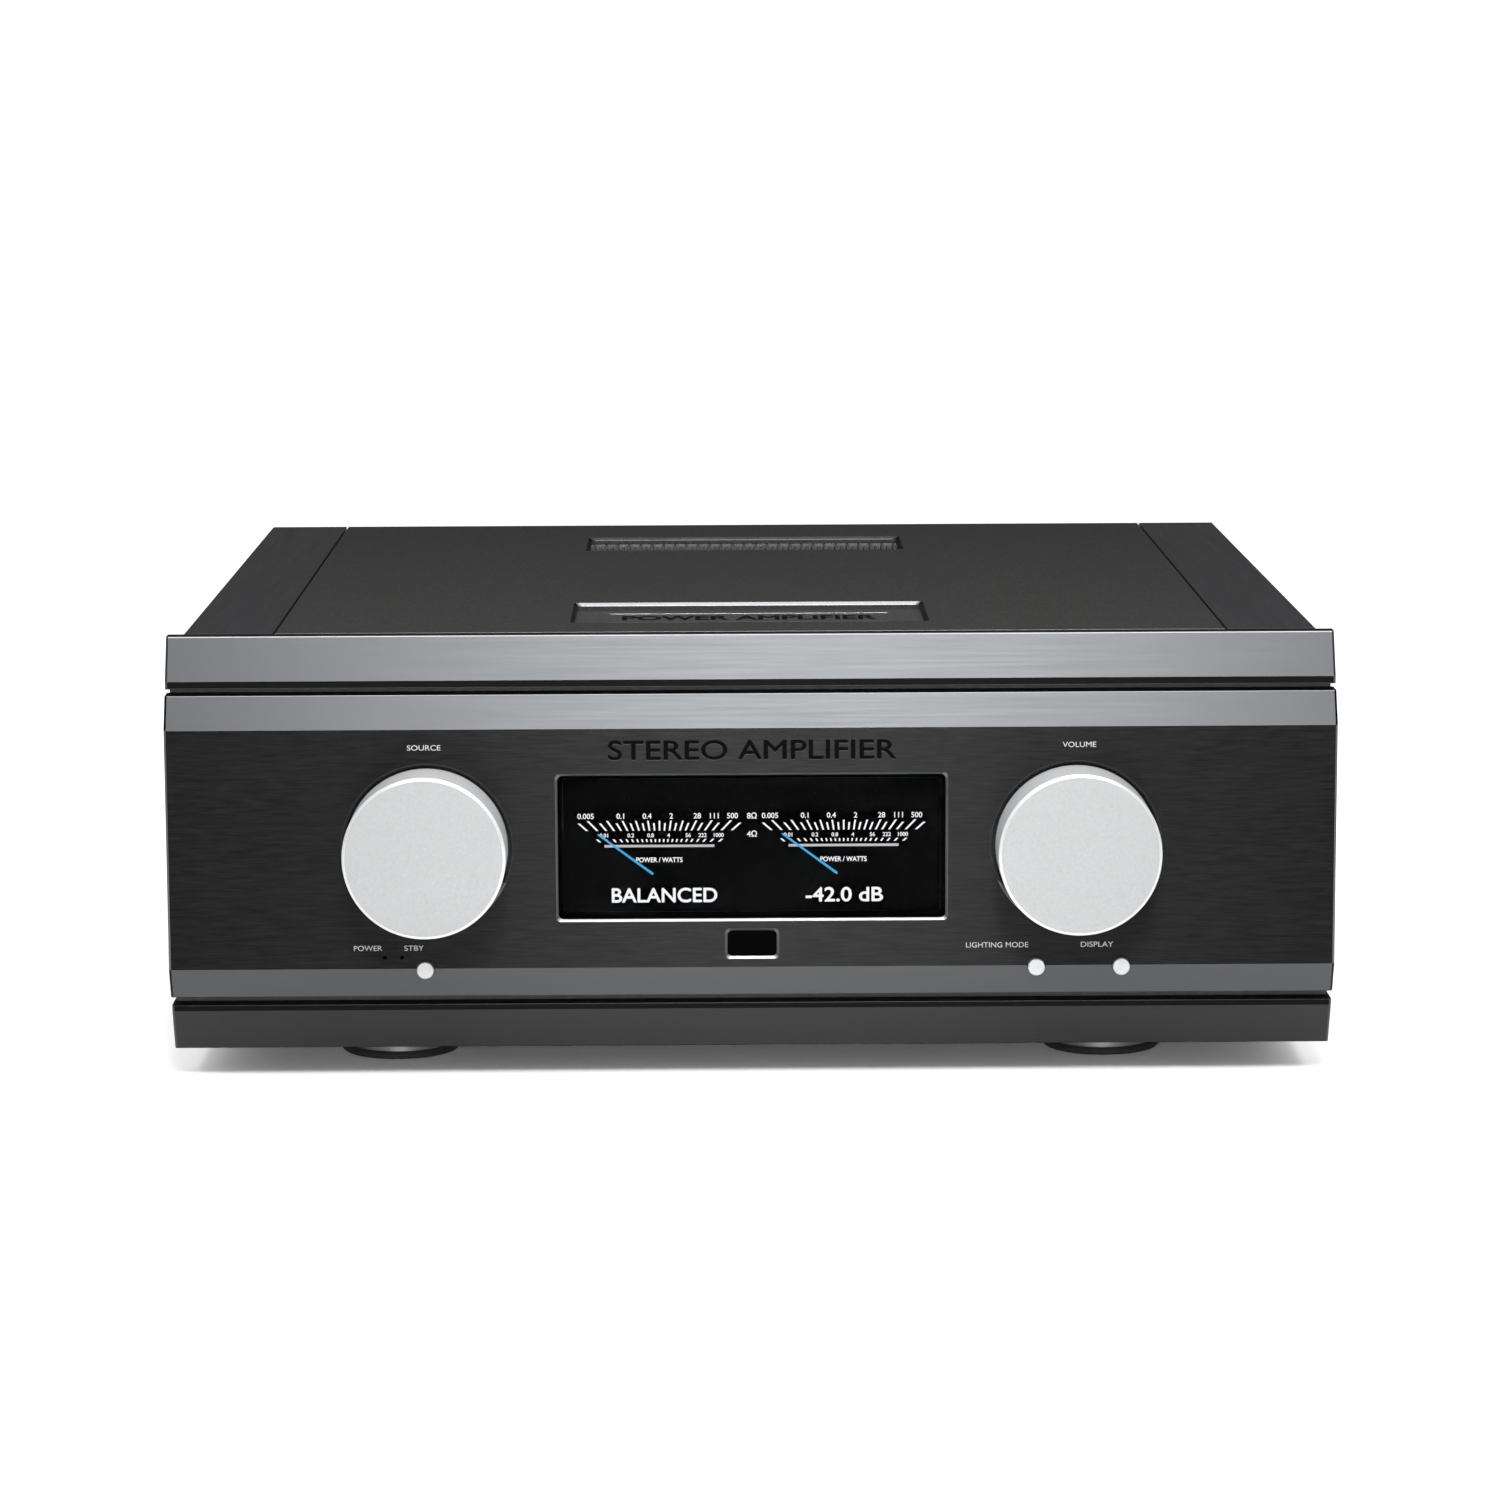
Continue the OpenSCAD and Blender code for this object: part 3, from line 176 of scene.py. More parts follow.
M["blasted"] = finish_material(
    "blasted_black_anodising", colour=(0.0165, 0.0162, 0.0156), spread=0.3, grain=(1500, 1500, 1500),
    height=2.2e-5, rough=(0.5, 0.62), Specular_IOR_Level=0.08)
M["side"] = finish_material(
    "smooth_black_anodising", colour=(0.008, 0.0082, 0.0086), spread=0.12, grain=(700, 40, 700),
    height=3e-6, rough=(0.34, 0.42), Specular_IOR_Level=0.22)
M["silver"] = finish_material(
    "blasted_silver", colour=(0.148, 0.150, 0.151), spread=0.05, grain=(1700, 1700, 1700),
    height=1.6e-5, metallic=0.35, rough=(0.42, 0.52))
# Brighter copy of the knob silver for the rim: painted highlight.
M["silver_edge"] = finish_material(
    "turned_silver_edge", colour=(0.36, 0.364, 0.367), spread=0.02, grain=(900, 900, 900), height=2e-6,
    metallic=0.4, rough=(0.3, 0.38))
# Brighter copy of the knob silver for the round wall: painted highlight.
M["silver_side"] = finish_material(
    "silver_wall_painted_highlight", colour=(0.36, 0.364, 0.37), spread=0.05, grain=(300, 2400, 300), height=4e-6,
    metallic=0.35, rough=(0.34, 0.42))
M["bevel"] = finish_material(
    "cut_black_bevel", colour=(0.012, 0.0123, 0.013), spread=0.08, grain=(500, 1500, 500), height=3e-6,
    rough=(0.28, 0.36), Specular_IOR_Level=0.65)
M["dark_edge"] = finish_material(
    "dark_cut_edge", colour=(0.012, 0.0122, 0.0126), spread=0.1, grain=(600, 600, 600), height=3e-6,
    rough=(0.3, 0.4), Specular_IOR_Level=0.9)
# Bright metallic copy of the cut edge: a painted highlight on edges and bevels that face the light.
M["bright_edge"] = finish_material(
    "painted_highlight_edge", colour=(0.2, 0.203, 0.21), spread=0.06, grain=(200, 900, 900), height=3e-6,
    metallic=0.7, rough=(0.28, 0.36))
M["plaque"] = finish_material(
    "grey_plaque", colour=(0.02, 0.0198, 0.0192), spread=0.15, grain=(1500, 1500, 1500), height=1e-5,
    rough=(0.4, 0.5), Specular_IOR_Level=0.15)
M["powder"] = finish_material(
    "black_powder_coat", colour=(0.014, 0.014, 0.0145), spread=0.2, grain=(1100, 1100, 1100),
    height=3e-5, rough=(0.5, 0.62), Specular_IOR_Level=0.4)
M["sink"] = finish_material(
    "extruded_black_anodising", colour=(0.045, 0.047, 0.05), spread=0.2, grain=(900, 900, 60),
    height=6e-6, metallic=0.4, rough=(0.38, 0.5))
M["foot"] = finish_material(
    "turned_grey_aluminium", colour=(0.2, 0.205, 0.21), spread=0.08, grain=(200, 200, 2200),
    height=5e-6, metallic=0.85, rough=(0.3, 0.42))
M["rubber"] = finish_material(
    "foot_rubber", colour=(0.012, 0.012, 0.012), spread=0.25, grain=(1300, 1300, 1300), height=4e-5,
    rough=(0.72, 0.85), Specular_IOR_Level=0.3)
M["zinc"] = finish_material(
    "zinc_plate", colour=(0.55, 0.56, 0.57), spread=0.12, grain=(500, 500, 500), height=6e-6,
    metallic=1.0, rough=(0.28, 0.42))
M["nickel"] = finish_material(
    "nickel_plate", colour=(0.6, 0.59, 0.57), spread=0.05, grain=(700, 700, 700), height=3e-6,
    metallic=1.0, rough=(0.18, 0.3))
M["gold"] = finish_material(
    "gold_plate", colour=(0.83, 0.61, 0.27), spread=0.06, grain=(800, 800, 800), height=3e-6,
    metallic=1.0, rough=(0.16, 0.28))
M["plastic"] = finish_material(
    "moulded_black_plastic", colour=(0.016, 0.016, 0.017), spread=0.15, grain=(1400, 1400, 1400),
    height=1.5e-5, rough=(0.38, 0.5))
M["gloss_black"] = finish_material(
    "gloss_black_plastic", colour=(0.012, 0.012, 0.013), spread=0.15, grain=(400, 400, 400),
    height=2e-6, rough=(0.12, 0.2))
M["gloss_red"] = finish_material(
    "gloss_red_plastic", colour=(0.4, 0.014, 0.012), spread=0.08, grain=(500, 500, 500), height=2e-6,
    rough=(0.16, 0.26))
M["filter"] = finish_material(
    "dark_filter", colour=(0.0003, 0.00025, 0.0003), spread=0.3, grain=(120, 120, 120), height=1e-6,
    rough=(0.08, 0.14), Specular_IOR_Level=0.004)
M["screen"] = finish_material(
    "black_screen", colour=(0.0004, 0.0004, 0.0005), spread=0.3, grain=(300, 300, 300), height=1e-6,
    rough=(0.3, 0.4), Specular_IOR_Level=0.01)
M["board"] = finish_material(
    "green_board", colour=(0.014, 0.095, 0.035), spread=0.2, grain=(260, 260, 260), height=1e-5,
    rough=(0.3, 0.45))
M["copper"] = finish_material(
    "lacquered_copper", colour=(0.5, 0.2, 0.06), spread=0.2, grain=(120, 120, 1400), height=8e-5,
    metallic=0.7, rough=(0.25, 0.4))
M["sleeve"] = finish_material(
    "capacitor_sleeve", colour=(0.012, 0.03, 0.075), spread=0.1, grain=(300, 300, 300), height=4e-6,
    rough=(0.2, 0.3))
M["cable"] = finish_material(
    "cable_insulation", colour=(0.05, 0.02, 0.018), spread=0.2, grain=(400, 400, 400), height=1e-5,
    rough=(0.4, 0.5))
M["ribbon"] = finish_material(
    "flat_cable", colour=(0.33, 0.34, 0.36), spread=0.12, grain=(200, 200, 800), height=3e-5,
    rough=(0.4, 0.5))
M["lamp"] = finish_material(
    "lamp_pipe", colour=(0.0003, 0.0002, 0.0002), spread=0.2, grain=(800, 800, 800), height=2e-6,
    rough=(0.1, 0.2), Specular_IOR_Level=0.002)
M["button"] = finish_material(
    "satin_silver", colour=(0.222, 0.224, 0.225), spread=0.03, grain=(1700, 1700, 1700), height=1e-5,
    metallic=0.35, rough=(0.4, 0.5))
M["dark_screw"] = finish_material(
    "black_oxide_steel", colour=(0.02, 0.02, 0.021), spread=0.2, grain=(900, 900, 900), height=6e-6,
    metallic=0.7, rough=(0.3, 0.42))
M["socket_white"] = finish_material(
    "socket_insulator", colour=(0.6, 0.6, 0.58), spread=0.04, grain=(900, 900, 900), height=5e-6,
    rough=(0.35, 0.45))
M["print"] = finish_material(
    "pale_print", colour=(0.23, 0.235, 0.24), spread=0.1, grain=(3000, 3000, 3000), height=1e-6,
    rough=(0.5, 0.6))
M["print_dim"] = finish_material(
    "grey_print", colour=(0.16, 0.164, 0.168), spread=0.1, grain=(3000, 3000, 3000), height=1e-6,
    rough=(0.5, 0.6))
M["engraving"] = finish_material(
    "engraving_fill", colour=(0.0008, 0.0008, 0.0009), spread=0.2, grain=(900, 900, 900), height=4e-6,
    rough=(0.4, 0.5), Specular_IOR_Level=0.01)

glass = shader("display_glass", (0.97, 0.98, 1.0), 0.0, 0.0, Transmission_Weight=1.0, IOR=1.01)
bump_from(glass, (25, 25, 25), 1e-7, 0.2)
M["glass"] = glass


def glowing(name, colour, strength=1.0):
    """A black surface that gives its own light."""
    mat = shader(name, (0.0, 0.0, 0.0), 0.0, 0.6, Emission_Strength=strength, Specular_IOR_Level=0.0)
    low, high = tones(colour, 0.02)
    node = ramp(mat, noise(mat, (900, 900, 900)), [(0.3, low), (0.7, high)])
    nt = mat.node_tree
    nt.links.new(node.outputs["Color"], nt.nodes["Principled BSDF"].inputs["Emission Color"])
    return mat


M["lit_white"] = glowing("lit_white", (0.93, 0.93, 0.93))
M["lit_grey"] = glowing("lit_grey", (0.52, 0.52, 0.52))
M["lit_blue"] = glowing("lit_blue", (0.062, 0.39, 0.71))


# ---------------------------------------------------------------- building helpers
def link(obj):
    bpy.context.scene.collection.objects.link(obj)
    return obj


def paint(obj, *mats):
    obj.data.materials.clear()
    for mat in mats:
        obj.data.materials.append(mat)
    return obj


def smooth(mesh, angle=30):
    mesh.polygons.foreach_set("use_smooth", [True] * len(mesh.polygons))
    mesh.set_sharp_from_angle(angle=math.radians(angle))
    mesh.update()


def ride_chassis(obj):
    """Fixes a piece to the chassis."""
    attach(obj, "chassis")
    return obj


def word_mesh(words, width, height, depth):
    """Built-in font letters as a mesh, centred, width along X, height along Y, depth along Z from 0."""
    curve = bpy.data.curves.new("letters", "FONT")
    curve.body = words
    curve.extrude = 0.5
    curve.resolution_u = 5  # steps along each curved stretch
    holder = link(bpy.data.objects.new("letters", curve))
    bpy.context.view_layer.update()
    mesh = bpy.data.meshes.new_from_object(holder.evaluated_get(bpy.context.evaluated_depsgraph_get()))
    bpy.data.objects.remove(holder)
    bpy.data.curves.remove(curve)
    xs, ys = [v.co.x for v in mesh.vertices], [v.co.y for v in mesh.vertices]
    wide, tall = max(xs) - min(xs), max(ys) - min(ys)
    cx, cy = (max(xs) + min(xs)) / 2, (max(ys) + min(ys)) / 2
    sx = (width / wide) if width else height / tall
    for v in mesh.vertices:
        v.co = ((v.co.x - cx) * sx, (v.co.y - cy) * height / tall, (v.co.z + 0.5) * depth)
    return mesh


FRONT = Matrix(((1, 0, 0), (0, 0, -1), (0, 1, 0)))
BACK = Matrix(((-1, 0, 0), (0, 0, 1), (0, 1, 0)))
TOP = Matrix.Identity(3)


def add_words(bm, words, centre, turn, width, height, depth, bold=0.0):
    """Adds letters whose back lies on the surface at centre; turn faces them to the front, back or top.

    Bold letters are five copies a little apart, each a little thinner than the one before.
    """
    mesh = word_mesh(words, width, height, depth)
    flat = [v.co.copy() for v in mesh.vertices]
    shifts = ((0, 0), (1, 0), (-1, 0), (0, 1), (0, -1)) if bold else ((0, 0),)
    thinning = 0.05
    for k, (dx, dy) in enumerate(shifts):
        for v, co in zip(mesh.vertices, flat):
            moved = Vector((co.x + dx * bold, co.y + dy * bold, co.z * (1 - thinning * k)))
            v.co = turn @ moved + Vector(centre)
        bm.from_mesh(mesh)
    bpy.data.meshes.remove(mesh)


def add_bar(bm, corners, y, depth):
    """Adds a flat prism: corners are (x, z) points, and it stands depth proud of y towards the front."""
    back = [bm.verts.new((x, y, z)) for x, z in corners]
    front = [bm.verts.new((x, y - depth, z)) for x, z in corners]
    bm.faces.new(front)
    bm.faces.new(back[::-1])
    for i in range(len(corners)):
        j = (i + 1) % len(corners)
        bm.faces.new((front[i], back[i], back[j], front[j]))


def made(bm, name, mat):
    """Turns a bmesh into a painted piece on the chassis."""
    bmesh.ops.recalc_face_normals(bm, faces=bm.faces)
    mesh = bpy.data.meshes.new(name)
    bm.to_mesh(mesh)
    bm.free()
    obj = link(bpy.data.objects.new(name, mesh))
    paint(obj, mat)
    return ride_chassis(obj)


WELD = 2e-6  # metres
FLAT_ANGLE = 0.004  # radians
SHARP_ANGLE = math.radians(25)
FLAT_AREA = 2e-5  # square metres


def is_sharp(edge):
    return len(edge.link_faces) == 2 and edge.calc_face_angle(0.0) > SHARP_ANGLE


def refined(node, name, width, long_edge=0.02):
    """A welded copy of a CAD node with its long sharp edges eased by width; it stands for the node.

    Faces larger than FLAT_AREA are shaded flat.
    """
    bm = bmesh.new()
    bm.from_mesh(nodes[node].data)
    bmesh.ops.remove_doubles(bm, verts=bm.verts, dist=WELD)
    bmesh.ops.dissolve_limit(bm, angle_limit=FLAT_ANGLE, verts=bm.verts, edges=bm.edges)
    chosen = [e for e in bm.edges if is_sharp(e) and e.calc_length() > long_edge]
    bmesh.ops.bevel(bm, geom=chosen, offset=width, offset_type="OFFSET", segments=2, profile=0.5,
                    affect="EDGES", clamp_overlap=False)
    mesh = bpy.data.meshes.new(name)
    bm.to_mesh(mesh)
    bm.free()
    obj = link(bpy.data.objects.new(name, mesh))
    smooth(obj.data)
    for p in obj.data.polygons:
        if p.area > FLAT_AREA:
            p.use_smooth = False
    ride_chassis(obj)
    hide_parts(node)
    return obj


def repaint_faces(obj, choose):
    """Gives each face the material index that choose(centre, normal) returns."""
    for p in obj.data.polygons:
        p.material_index = choose(p.center, p.normal)


# ---------------------------------------------------------------- camera, light and floor
CAMERA_PLACE = (-0.016346, Y_FACE - 1.918153, 0.44239)
CAMERA_RIGHT = Vector((0.99994953, -0.00917716, -0.00408889))
CAMERA_UP = Vector((0.00542895, 0.15111511, 0.98850126))
CAMERA_AHEAD = Vector((0.00845374, 0.98847357, -0.1511573))


def camera():
    """A long lens in front of the middle, a little above the top and looking slightly down."""
    cam = bpy.data.cameras.new("camera")
    cam.sensor_width = 36.0
    cam.lens = 113.3155
    cam.shift_x, cam.shift_y = -0.00098, -0.01278
    cam.clip_start, cam.clip_end = 0.05, 60.0
    holder = link(bpy.data.objects.new("camera", cam))
    turn = Matrix((CAMERA_RIGHT, CAMERA_UP, -CAMERA_AHEAD)).transposed().to_4x4()
    holder.matrix_world = Matrix.Translation(CAMERA_PLACE) @ turn
    bpy.context.scene.camera = holder


def softbox(name, place, target, size, power, spread=180):
    """A rectangular light in place, facing target; power in watts, spread in degrees."""
    light = bpy.data.lights.new(name, "AREA")
    light.shape, light.size, light.size_y = "RECTANGLE", *size
    light.energy = power
    light.spread = math.radians(spread)
    obj = link(bpy.data.objects.new(name, light))
    obj.location = place
    obj.rotation_mode = "QUATERNION"
    obj.rotation_quaternion = (Vector(target) - Vector(place)).to_track_quat("-Z", "Y")


def lights():
    """Slopes and floor are lit from above, the front plate and the knobs also from far in front."""
    softbox("front_high", (0.06, -1.35, 1.17), (0.03, -0.2, 0.15), (0.42, 0.42), 27.0)
    softbox("overhead", (0.03, -0.38, 0.78), (0.02, -0.2, 0.15), (0.9, 0.5), 7.5)
    softbox("low_front", (0.03, -3.6, 0.55), (0.03, -0.2, 0.1), (0.3, 0.3), 60.0)
    softbox("floor_pool", (0.02, -0.62, 1.0), (0.02, -0.62, 0.0), (0.2, 0.15), 2.6, 48)


def room():
    """White surroundings that show dim in reflections, a little brighter towards the top."""
    world = bpy.data.worlds.new("studio")
    bpy.context.scene.world = world
    world.use_nodes = True
    nt = world.node_tree
    nt.nodes.clear()
    out = nt.nodes.new("ShaderNodeOutputWorld")
    path = nt.nodes.new("ShaderNodeLightPath")
    coords = nt.nodes.new("ShaderNodeTexCoord")
    split = nt.nodes.new("ShaderNodeSeparateXYZ")
    height = nt.nodes.new("ShaderNodeMapRange")
    height.inputs["From Min"].default_value, height.inputs["From Max"].default_value = -0.1, 1.0
    tone = nt.nodes.new("ShaderNodeValToRGB")
    blue_cast = 1.04
    for i, value in enumerate((0.1, 0.2)):
        tone.color_ramp.elements[i].position = i
        tone.color_ramp.elements[i].color = (value, value, value * blue_cast, 1.0)
    reflected = nt.nodes.new("ShaderNodeBackground")
    plain = nt.nodes.new("ShaderNodeBackground")
    plain.inputs["Color"].default_value = (1.0, 1.0, 1.0, 1.0)
    plain.inputs["Strength"].default_value = 1.15
    mix = nt.nodes.new("ShaderNodeMixShader")
    nt.links.new(coords.outputs["Generated"], split.inputs["Vector"])
    nt.links.new(split.outputs["Z"], height.inputs["Value"])
    nt.links.new(height.outputs["Result"], tone.inputs["Fac"])
    nt.links.new(tone.outputs["Color"], reflected.inputs["Color"])
    nt.links.new(path.outputs["Is Glossy Ray"], mix.inputs["Fac"])
    nt.links.new(plain.outputs["Background"], mix.inputs[1])
    nt.links.new(reflected.outputs["Background"], mix.inputs[2])
    nt.links.new(mix.outputs["Shader"], out.inputs["Surface"])


def white_floor():
    """Matt white paper, wide enough to reach past the picture."""
    bm = bmesh.new()
    bmesh.ops.create_grid(bm, x_segments=8, y_segments=8, size=9.0)
    mesh = bpy.data.meshes.new("floor")
    bm.to_mesh(mesh)
    bm.free()
    floor = link(bpy.data.objects.new("floor", mesh))
    paper = shader("white_paper", (0.93, 0.93, 0.93), 0.0, 0.8, Specular_IOR_Level=0.1)
    colour_from(paper, (3, 3, 3), (0.925, 0.925, 0.925), (0.935, 0.935, 0.935))
    paint(floor, paper)


camera()
bpy.context.scene.view_settings.view_transform = "Standard"
lights()
room()
white_floor()


# ---------------------------------------------------------------- front pieces
def is_upper_edge(centre, normal, top, depth):
    """Whether a face is part of the eased edge within depth of the top."""
    return 0.5 < normal.z < 0.97 and centre.z > top - depth


def face_kind(centre, normal):
    """Material of each front face: flat band, slopes, lips, opening bevels or highlight edges. Upper eased
    edges and upward opening bevels take a painted highlight; everything else, such as lips and groove walls,
    takes near-black anodising as painted shade.
    """
    flat_band, slope, lip, bevel, bright_edge = range(5)
    edge_depth, bevel_depth = 0.0008, 0.0014
    steepest_bevel, tilted = 0.88, 0.3
    if normal.y < -0.985:
        return flat_band
    if is_upper_edge(centre, normal, FACE_HIGH[2], edge_depth):
        return bright_edge
    if normal.y < -steepest_bevel and abs(normal.z) > tilted:
        return slope
    if -steepest_bevel < normal.y < -0.4 and centre.y < Y_FACE + bevel_depth:
        return bright_edge if normal.z > tilted else bevel
    return lip


def bar_kind(centre, normal):
    """Material of each bar face: the slope with its end bevels, the lip in near-black anodising as painted
    shade, or the upper edge with a painted highlight.
    """
    slope, lip, bright_edge = range(3)
    edge_depth = 0.0012
    if is_upper_edge(centre, normal, COVER_HIGH[2], edge_depth):
        return bright_edge
    on_slope = normal.y < -0.8 and abs(normal.z) > 0.3
    on_end = normal.y < -0.3 and abs(normal.x) > 0.4
    return slope if on_slope or on_end else lip


fascia = refined("front_fascia", "front_face", 0.0002, 0.05)
paint(fascia, M["brushed"], M["slope"], M["lip"], M["bevel"], M["bright_edge"])
repaint_faces(fascia, face_kind)

# The bottom bar's darker satin copy is painted shade.
for node, name, width, key in (("fascia_top_bar", "top_bar", 0.0005, "slope"),
                               ("fascia_bottom_bar", "bottom_bar", 0.0003, "shaded_skirt")):
    bar = refined(node, name, width)
    paint(bar, M[key], M["lip"], M["bright_edge"])
    repaint_faces(bar, bar_kind)


def knob_kind(centre, normal):
    """Material of each knob face: the front disc, its eased rim or the round wall; rim and wall take a
    brighter copy of the silver as a painted highlight.
    """
    disc, rim, wall = range(3)
    if normal.y < -0.95:
        return disc
    return rim if normal.y < -0.3 else wall


for node in ("source_knob", "volume_knob"):
    knob = paint(nodes[node], M["silver"], M["silver_edge"], M["silver_side"])
    repaint_faces(knob, knob_kind)


# ---------------------------------------------------------------- cabinet
def cover_kind(centre, normal):
    """Material of each cover face; the rear bevel of the plaque recess gets a painted highlight, side bevels
    get near-black anodising as painted shade, other bevels are dark.
    """
    plate, dark_edge, bright_edge, painted_shade_edge = range(4)
    front_edge, past_plaque = 0.003, 0.006
    if not 0.4 < normal.z < 0.9:
        return plate
    if normal.y > -0.5:
        # Sideways bevels take the near-black anodising as painted shade.
        return painted_shade_edge if abs(normal.x) > 0.4 else dark_edge
    in_recess = COVER_LOW[1] + front_edge < centre.y < PLAQUE_HIGH[1] + past_plaque
    return bright_edge if in_recess else dark_edge


cover = refined("top_cover", "cover_plate", 0.0003)
paint(cover, M["blasted"], M["dark_edge"], M["bright_edge"], M["lip"])
repaint_faces(cover, cover_kind)
for node in ("left_side_panel", "right_side_panel"):
    paint(refined(node, node.replace("panel", "extrusion"), 0.0003), M["side"])

# Nodes of a single material
PLAIN_NODES = {
    "fascia_backplate": "powder", "display_window": "glass", "ir_window": "filter",
    "status_leds": "lamp", "control_board": "board", "source_encoder": "zinc", "volume_encoder": "zinc",
    "button_switches": "plastic", "source_shaft": "zinc", "volume_shaft": "zinc",
    "standby_button": "button", "lighting_button": "button", "display_button": "button",
    "name_plaque": "plaque", "chassis_base": "powder", "rear_panel": "powder", "feet": "foot",
    "foot_pads": "rubber", "heat_sink_front": "sink", "heat_sink_rear": "sink",
    "power_transformer": "copper", "transformer_mount": "zinc", "reservoir_capacitors": "sleeve",
    "rectifier_bridges": "plastic", "power_supply_board": "board", "amplifier_board_left": "board",
    "amplifier_board_right": "board", "output_transistors": "plastic", "input_board": "board",
    "xlr_latch_left": "nickel", "xlr_latch_right": "nickel", "trigger_jacks": "nickel",
    "fuse_drawer": "plastic", "mains_switch_frame": "plastic", "mains_rocker": "gloss_black",
    "cover_screws": "dark_screw", "panel_screws": "dark_screw", "wiring_looms": "cable",
    "display_ribbon": "ribbon",
}
for node, key in PLAIN_NODES.items():
    paint(nodes[node], M[key])
for side in ("left", "right"):
    for pole, key in (("minus", "gloss_black"), ("plus", "gloss_red")):
        paint(nodes[f"{side}_{pole}_washer"], M["gold"])
        paint(nodes[f"{side}_{pole}_cap"], M[key])


def module_kind(centre, normal):
    """The display module is black where it shows through the pane."""
    frame_depth = 0.003
    seen = normal.y < -0.5 or centre.y < Y_SCREEN + frame_depth
    return 1 if seen else 0


paint(nodes["display_module"], M["plastic"], M["screen"])
repaint_faces(nodes["display_module"], module_kind)


# ---------------------------------------------------------------- rear sockets, several finishes in each
RCA_XS = [-0.120 + 0.024 * i for i in range(6)]
RCA_LOW_Z, RCA_HIGH_Z = 0.128, 0.150
RCA = [(x, z) for x in RCA_XS for z in (RCA_LOW_Z, RCA_HIGH_Z)]
XLR = [(-0.194, 0.139), (-0.158, 0.139)]
TERMINALS = [(-0.192, 0.060), (-0.160, 0.060), (0.092, 0.060), (0.124, 0.060)]
INLET_X = 0.192


def off_axis(centre, axes):
    """Distance from centre to the nearest of the axes, which run along Y."""
    return min(math.hypot(centre.x - x, centre.z - z) for x, z in axes)


def phono_kind(centre, normal):
    """Material of each phono face: gold, the white insulator, or the red or black ring on the panel."""
    gold, insulator, red, black = range(4)
    insulator_r, collar_r, ring_depth = 0.00295, 0.0043, 0.0016
    r = off_axis(centre, RCA)
    if r < insulator_r and centre.y > Y_REAR:
        return insulator
    if Y_REAR - 0.0001 < centre.y < Y_REAR + ring_depth and r > collar_r:
        return red if centre.z > (RCA_LOW_Z + RCA_HIGH_Z) / 2 else black
    return gold


def inlet_kind(centre, normal):
    """The three blades of the inlet are nickel, the rest of it is plastic."""
    half_width, low, high, deep, shallow = 0.0081, 0.0628, 0.0722, 0.0129, 0.0018
    across_blades = abs(centre.x - INLET_X) < half_width and low < centre.z < high
    along_blades = Y_REAR - deep < centre.y < Y_REAR - shallow
    return 1 if across_blades and along_blades else 0


def xlr_kind(centre, normal):
    """The insert inside each shell is plastic."""
    insert_r = 0.0075
    return 1 if off_axis(centre, XLR) < insert_r else 0


def terminal_kind(centre, normal):
    """The posts are gold and the collars round them plastic."""
    post_r = 0.0043
    return 1 if off_axis(centre, TERMINALS) > post_r else 0


paint(nodes["rca_sockets"], M["gold"], M["socket_white"], M["gloss_red"], M["gloss_black"])
repaint_faces(nodes["rca_sockets"], phono_kind)
paint(nodes["xlr_sockets"], M["nickel"], M["plastic"])
repaint_faces(nodes["xlr_sockets"], xlr_kind)
paint(nodes["terminal_bases"], M["gold"], M["plastic"])
repaint_faces(nodes["terminal_bases"], terminal_kind)
paint(nodes["mains_inlet"], M["plastic"], M["nickel"])
repaint_faces(nodes["mains_inlet"], inlet_kind)


# ---------------------------------------------------------------- display picture, just behind the pane
METER_XS = (-0.0381, 0.0381)
TICK_PIVOT_Z = 0.0799
TICK_STEP = 0.0764
TICKS_EACH_SIDE = 11
# Lower end, upper end of even and of odd ticks, and width of each scale's ticks
TICK_ROWS = ((0.1067, 0.1108, 0.1098, 0.00066), (0.1019, 0.1031, 0.1031, 0.0006))
# Numbers of both scales, each with its distance from the meter's middle in millimetres
OUTER_NUMBERS = (("0.005", -30.5), ("0.1", -16.15), ("0.4", -5.1), ("2", 4.9), ("28", 15.65),
                 ("111", 22.7), ("500", 30.2))
INNER_NUMBERS = (("0.01", -23.0), ("0.2", -11.9), ("0.8", -3.7), ("4", 3.76), ("56", 11.85),
                 ("222", 17.8), ("1000", 24.5))
OUTER_Z, INNER_Z, UNIT_Z, INNER_OHM_Z, MESSAGE_Z = 0.1128, 0.1047, 0.0944, 0.1052, 0.0795


def meter_ticks(bm, cx):
    """Ticks of both scales, fanned out from a point below the meter's middle."""
    for low, high_even, high_odd, wide in TICK_ROWS:
        for k in range(-TICKS_EACH_SIDE, TICKS_EACH_SIDE + 1):
            slope = math.tan(k * TICK_STEP)
            high = high_even if k % 2 == 0 else high_odd
            half = wide / 2 * math.sqrt(1 + slope * slope)
            a, b = cx + slope * (low - TICK_PIVOT_Z), cx + slope * (high - TICK_PIVOT_Z)
            corners = [(a - half, low), (a + half, low), (b + half, high), (b - half, high)]
            add_bar(bm, corners, Y_PICTURE, PICTURE_SKIN)


def needle(bm, cx):
    """A slim pointer at the low end of the scale, with pointed ends, in front of the ticks."""
    start, end = Vector((cx - 0.0252, 0.1050)), Vector((cx - 0.0030, 0.0886))
    half_width = Vector((-(end - start).y, (end - start).x)).normalized() * 0.00052
    tip = (start - end).normalized() * 0.0006
    far_half = half_width * 0.7
    corners = [start - far_half, end - half_width, end - tip, end + half_width, start + far_half, start + tip]
    add_bar(bm, [tuple(c) for c in corners], Y_PICTURE - 8e-5, 4e-5)


def scale_line(bm, cx):
    """The level line under the inner scale."""
    left, right, low, high = cx - 0.0228, cx + 0.0227, 0.0997, 0.10075
    add_bar(bm, [(left, low), (right, low), (right, high), (left, high)], Y_PICTURE, PICTURE_SKIN)


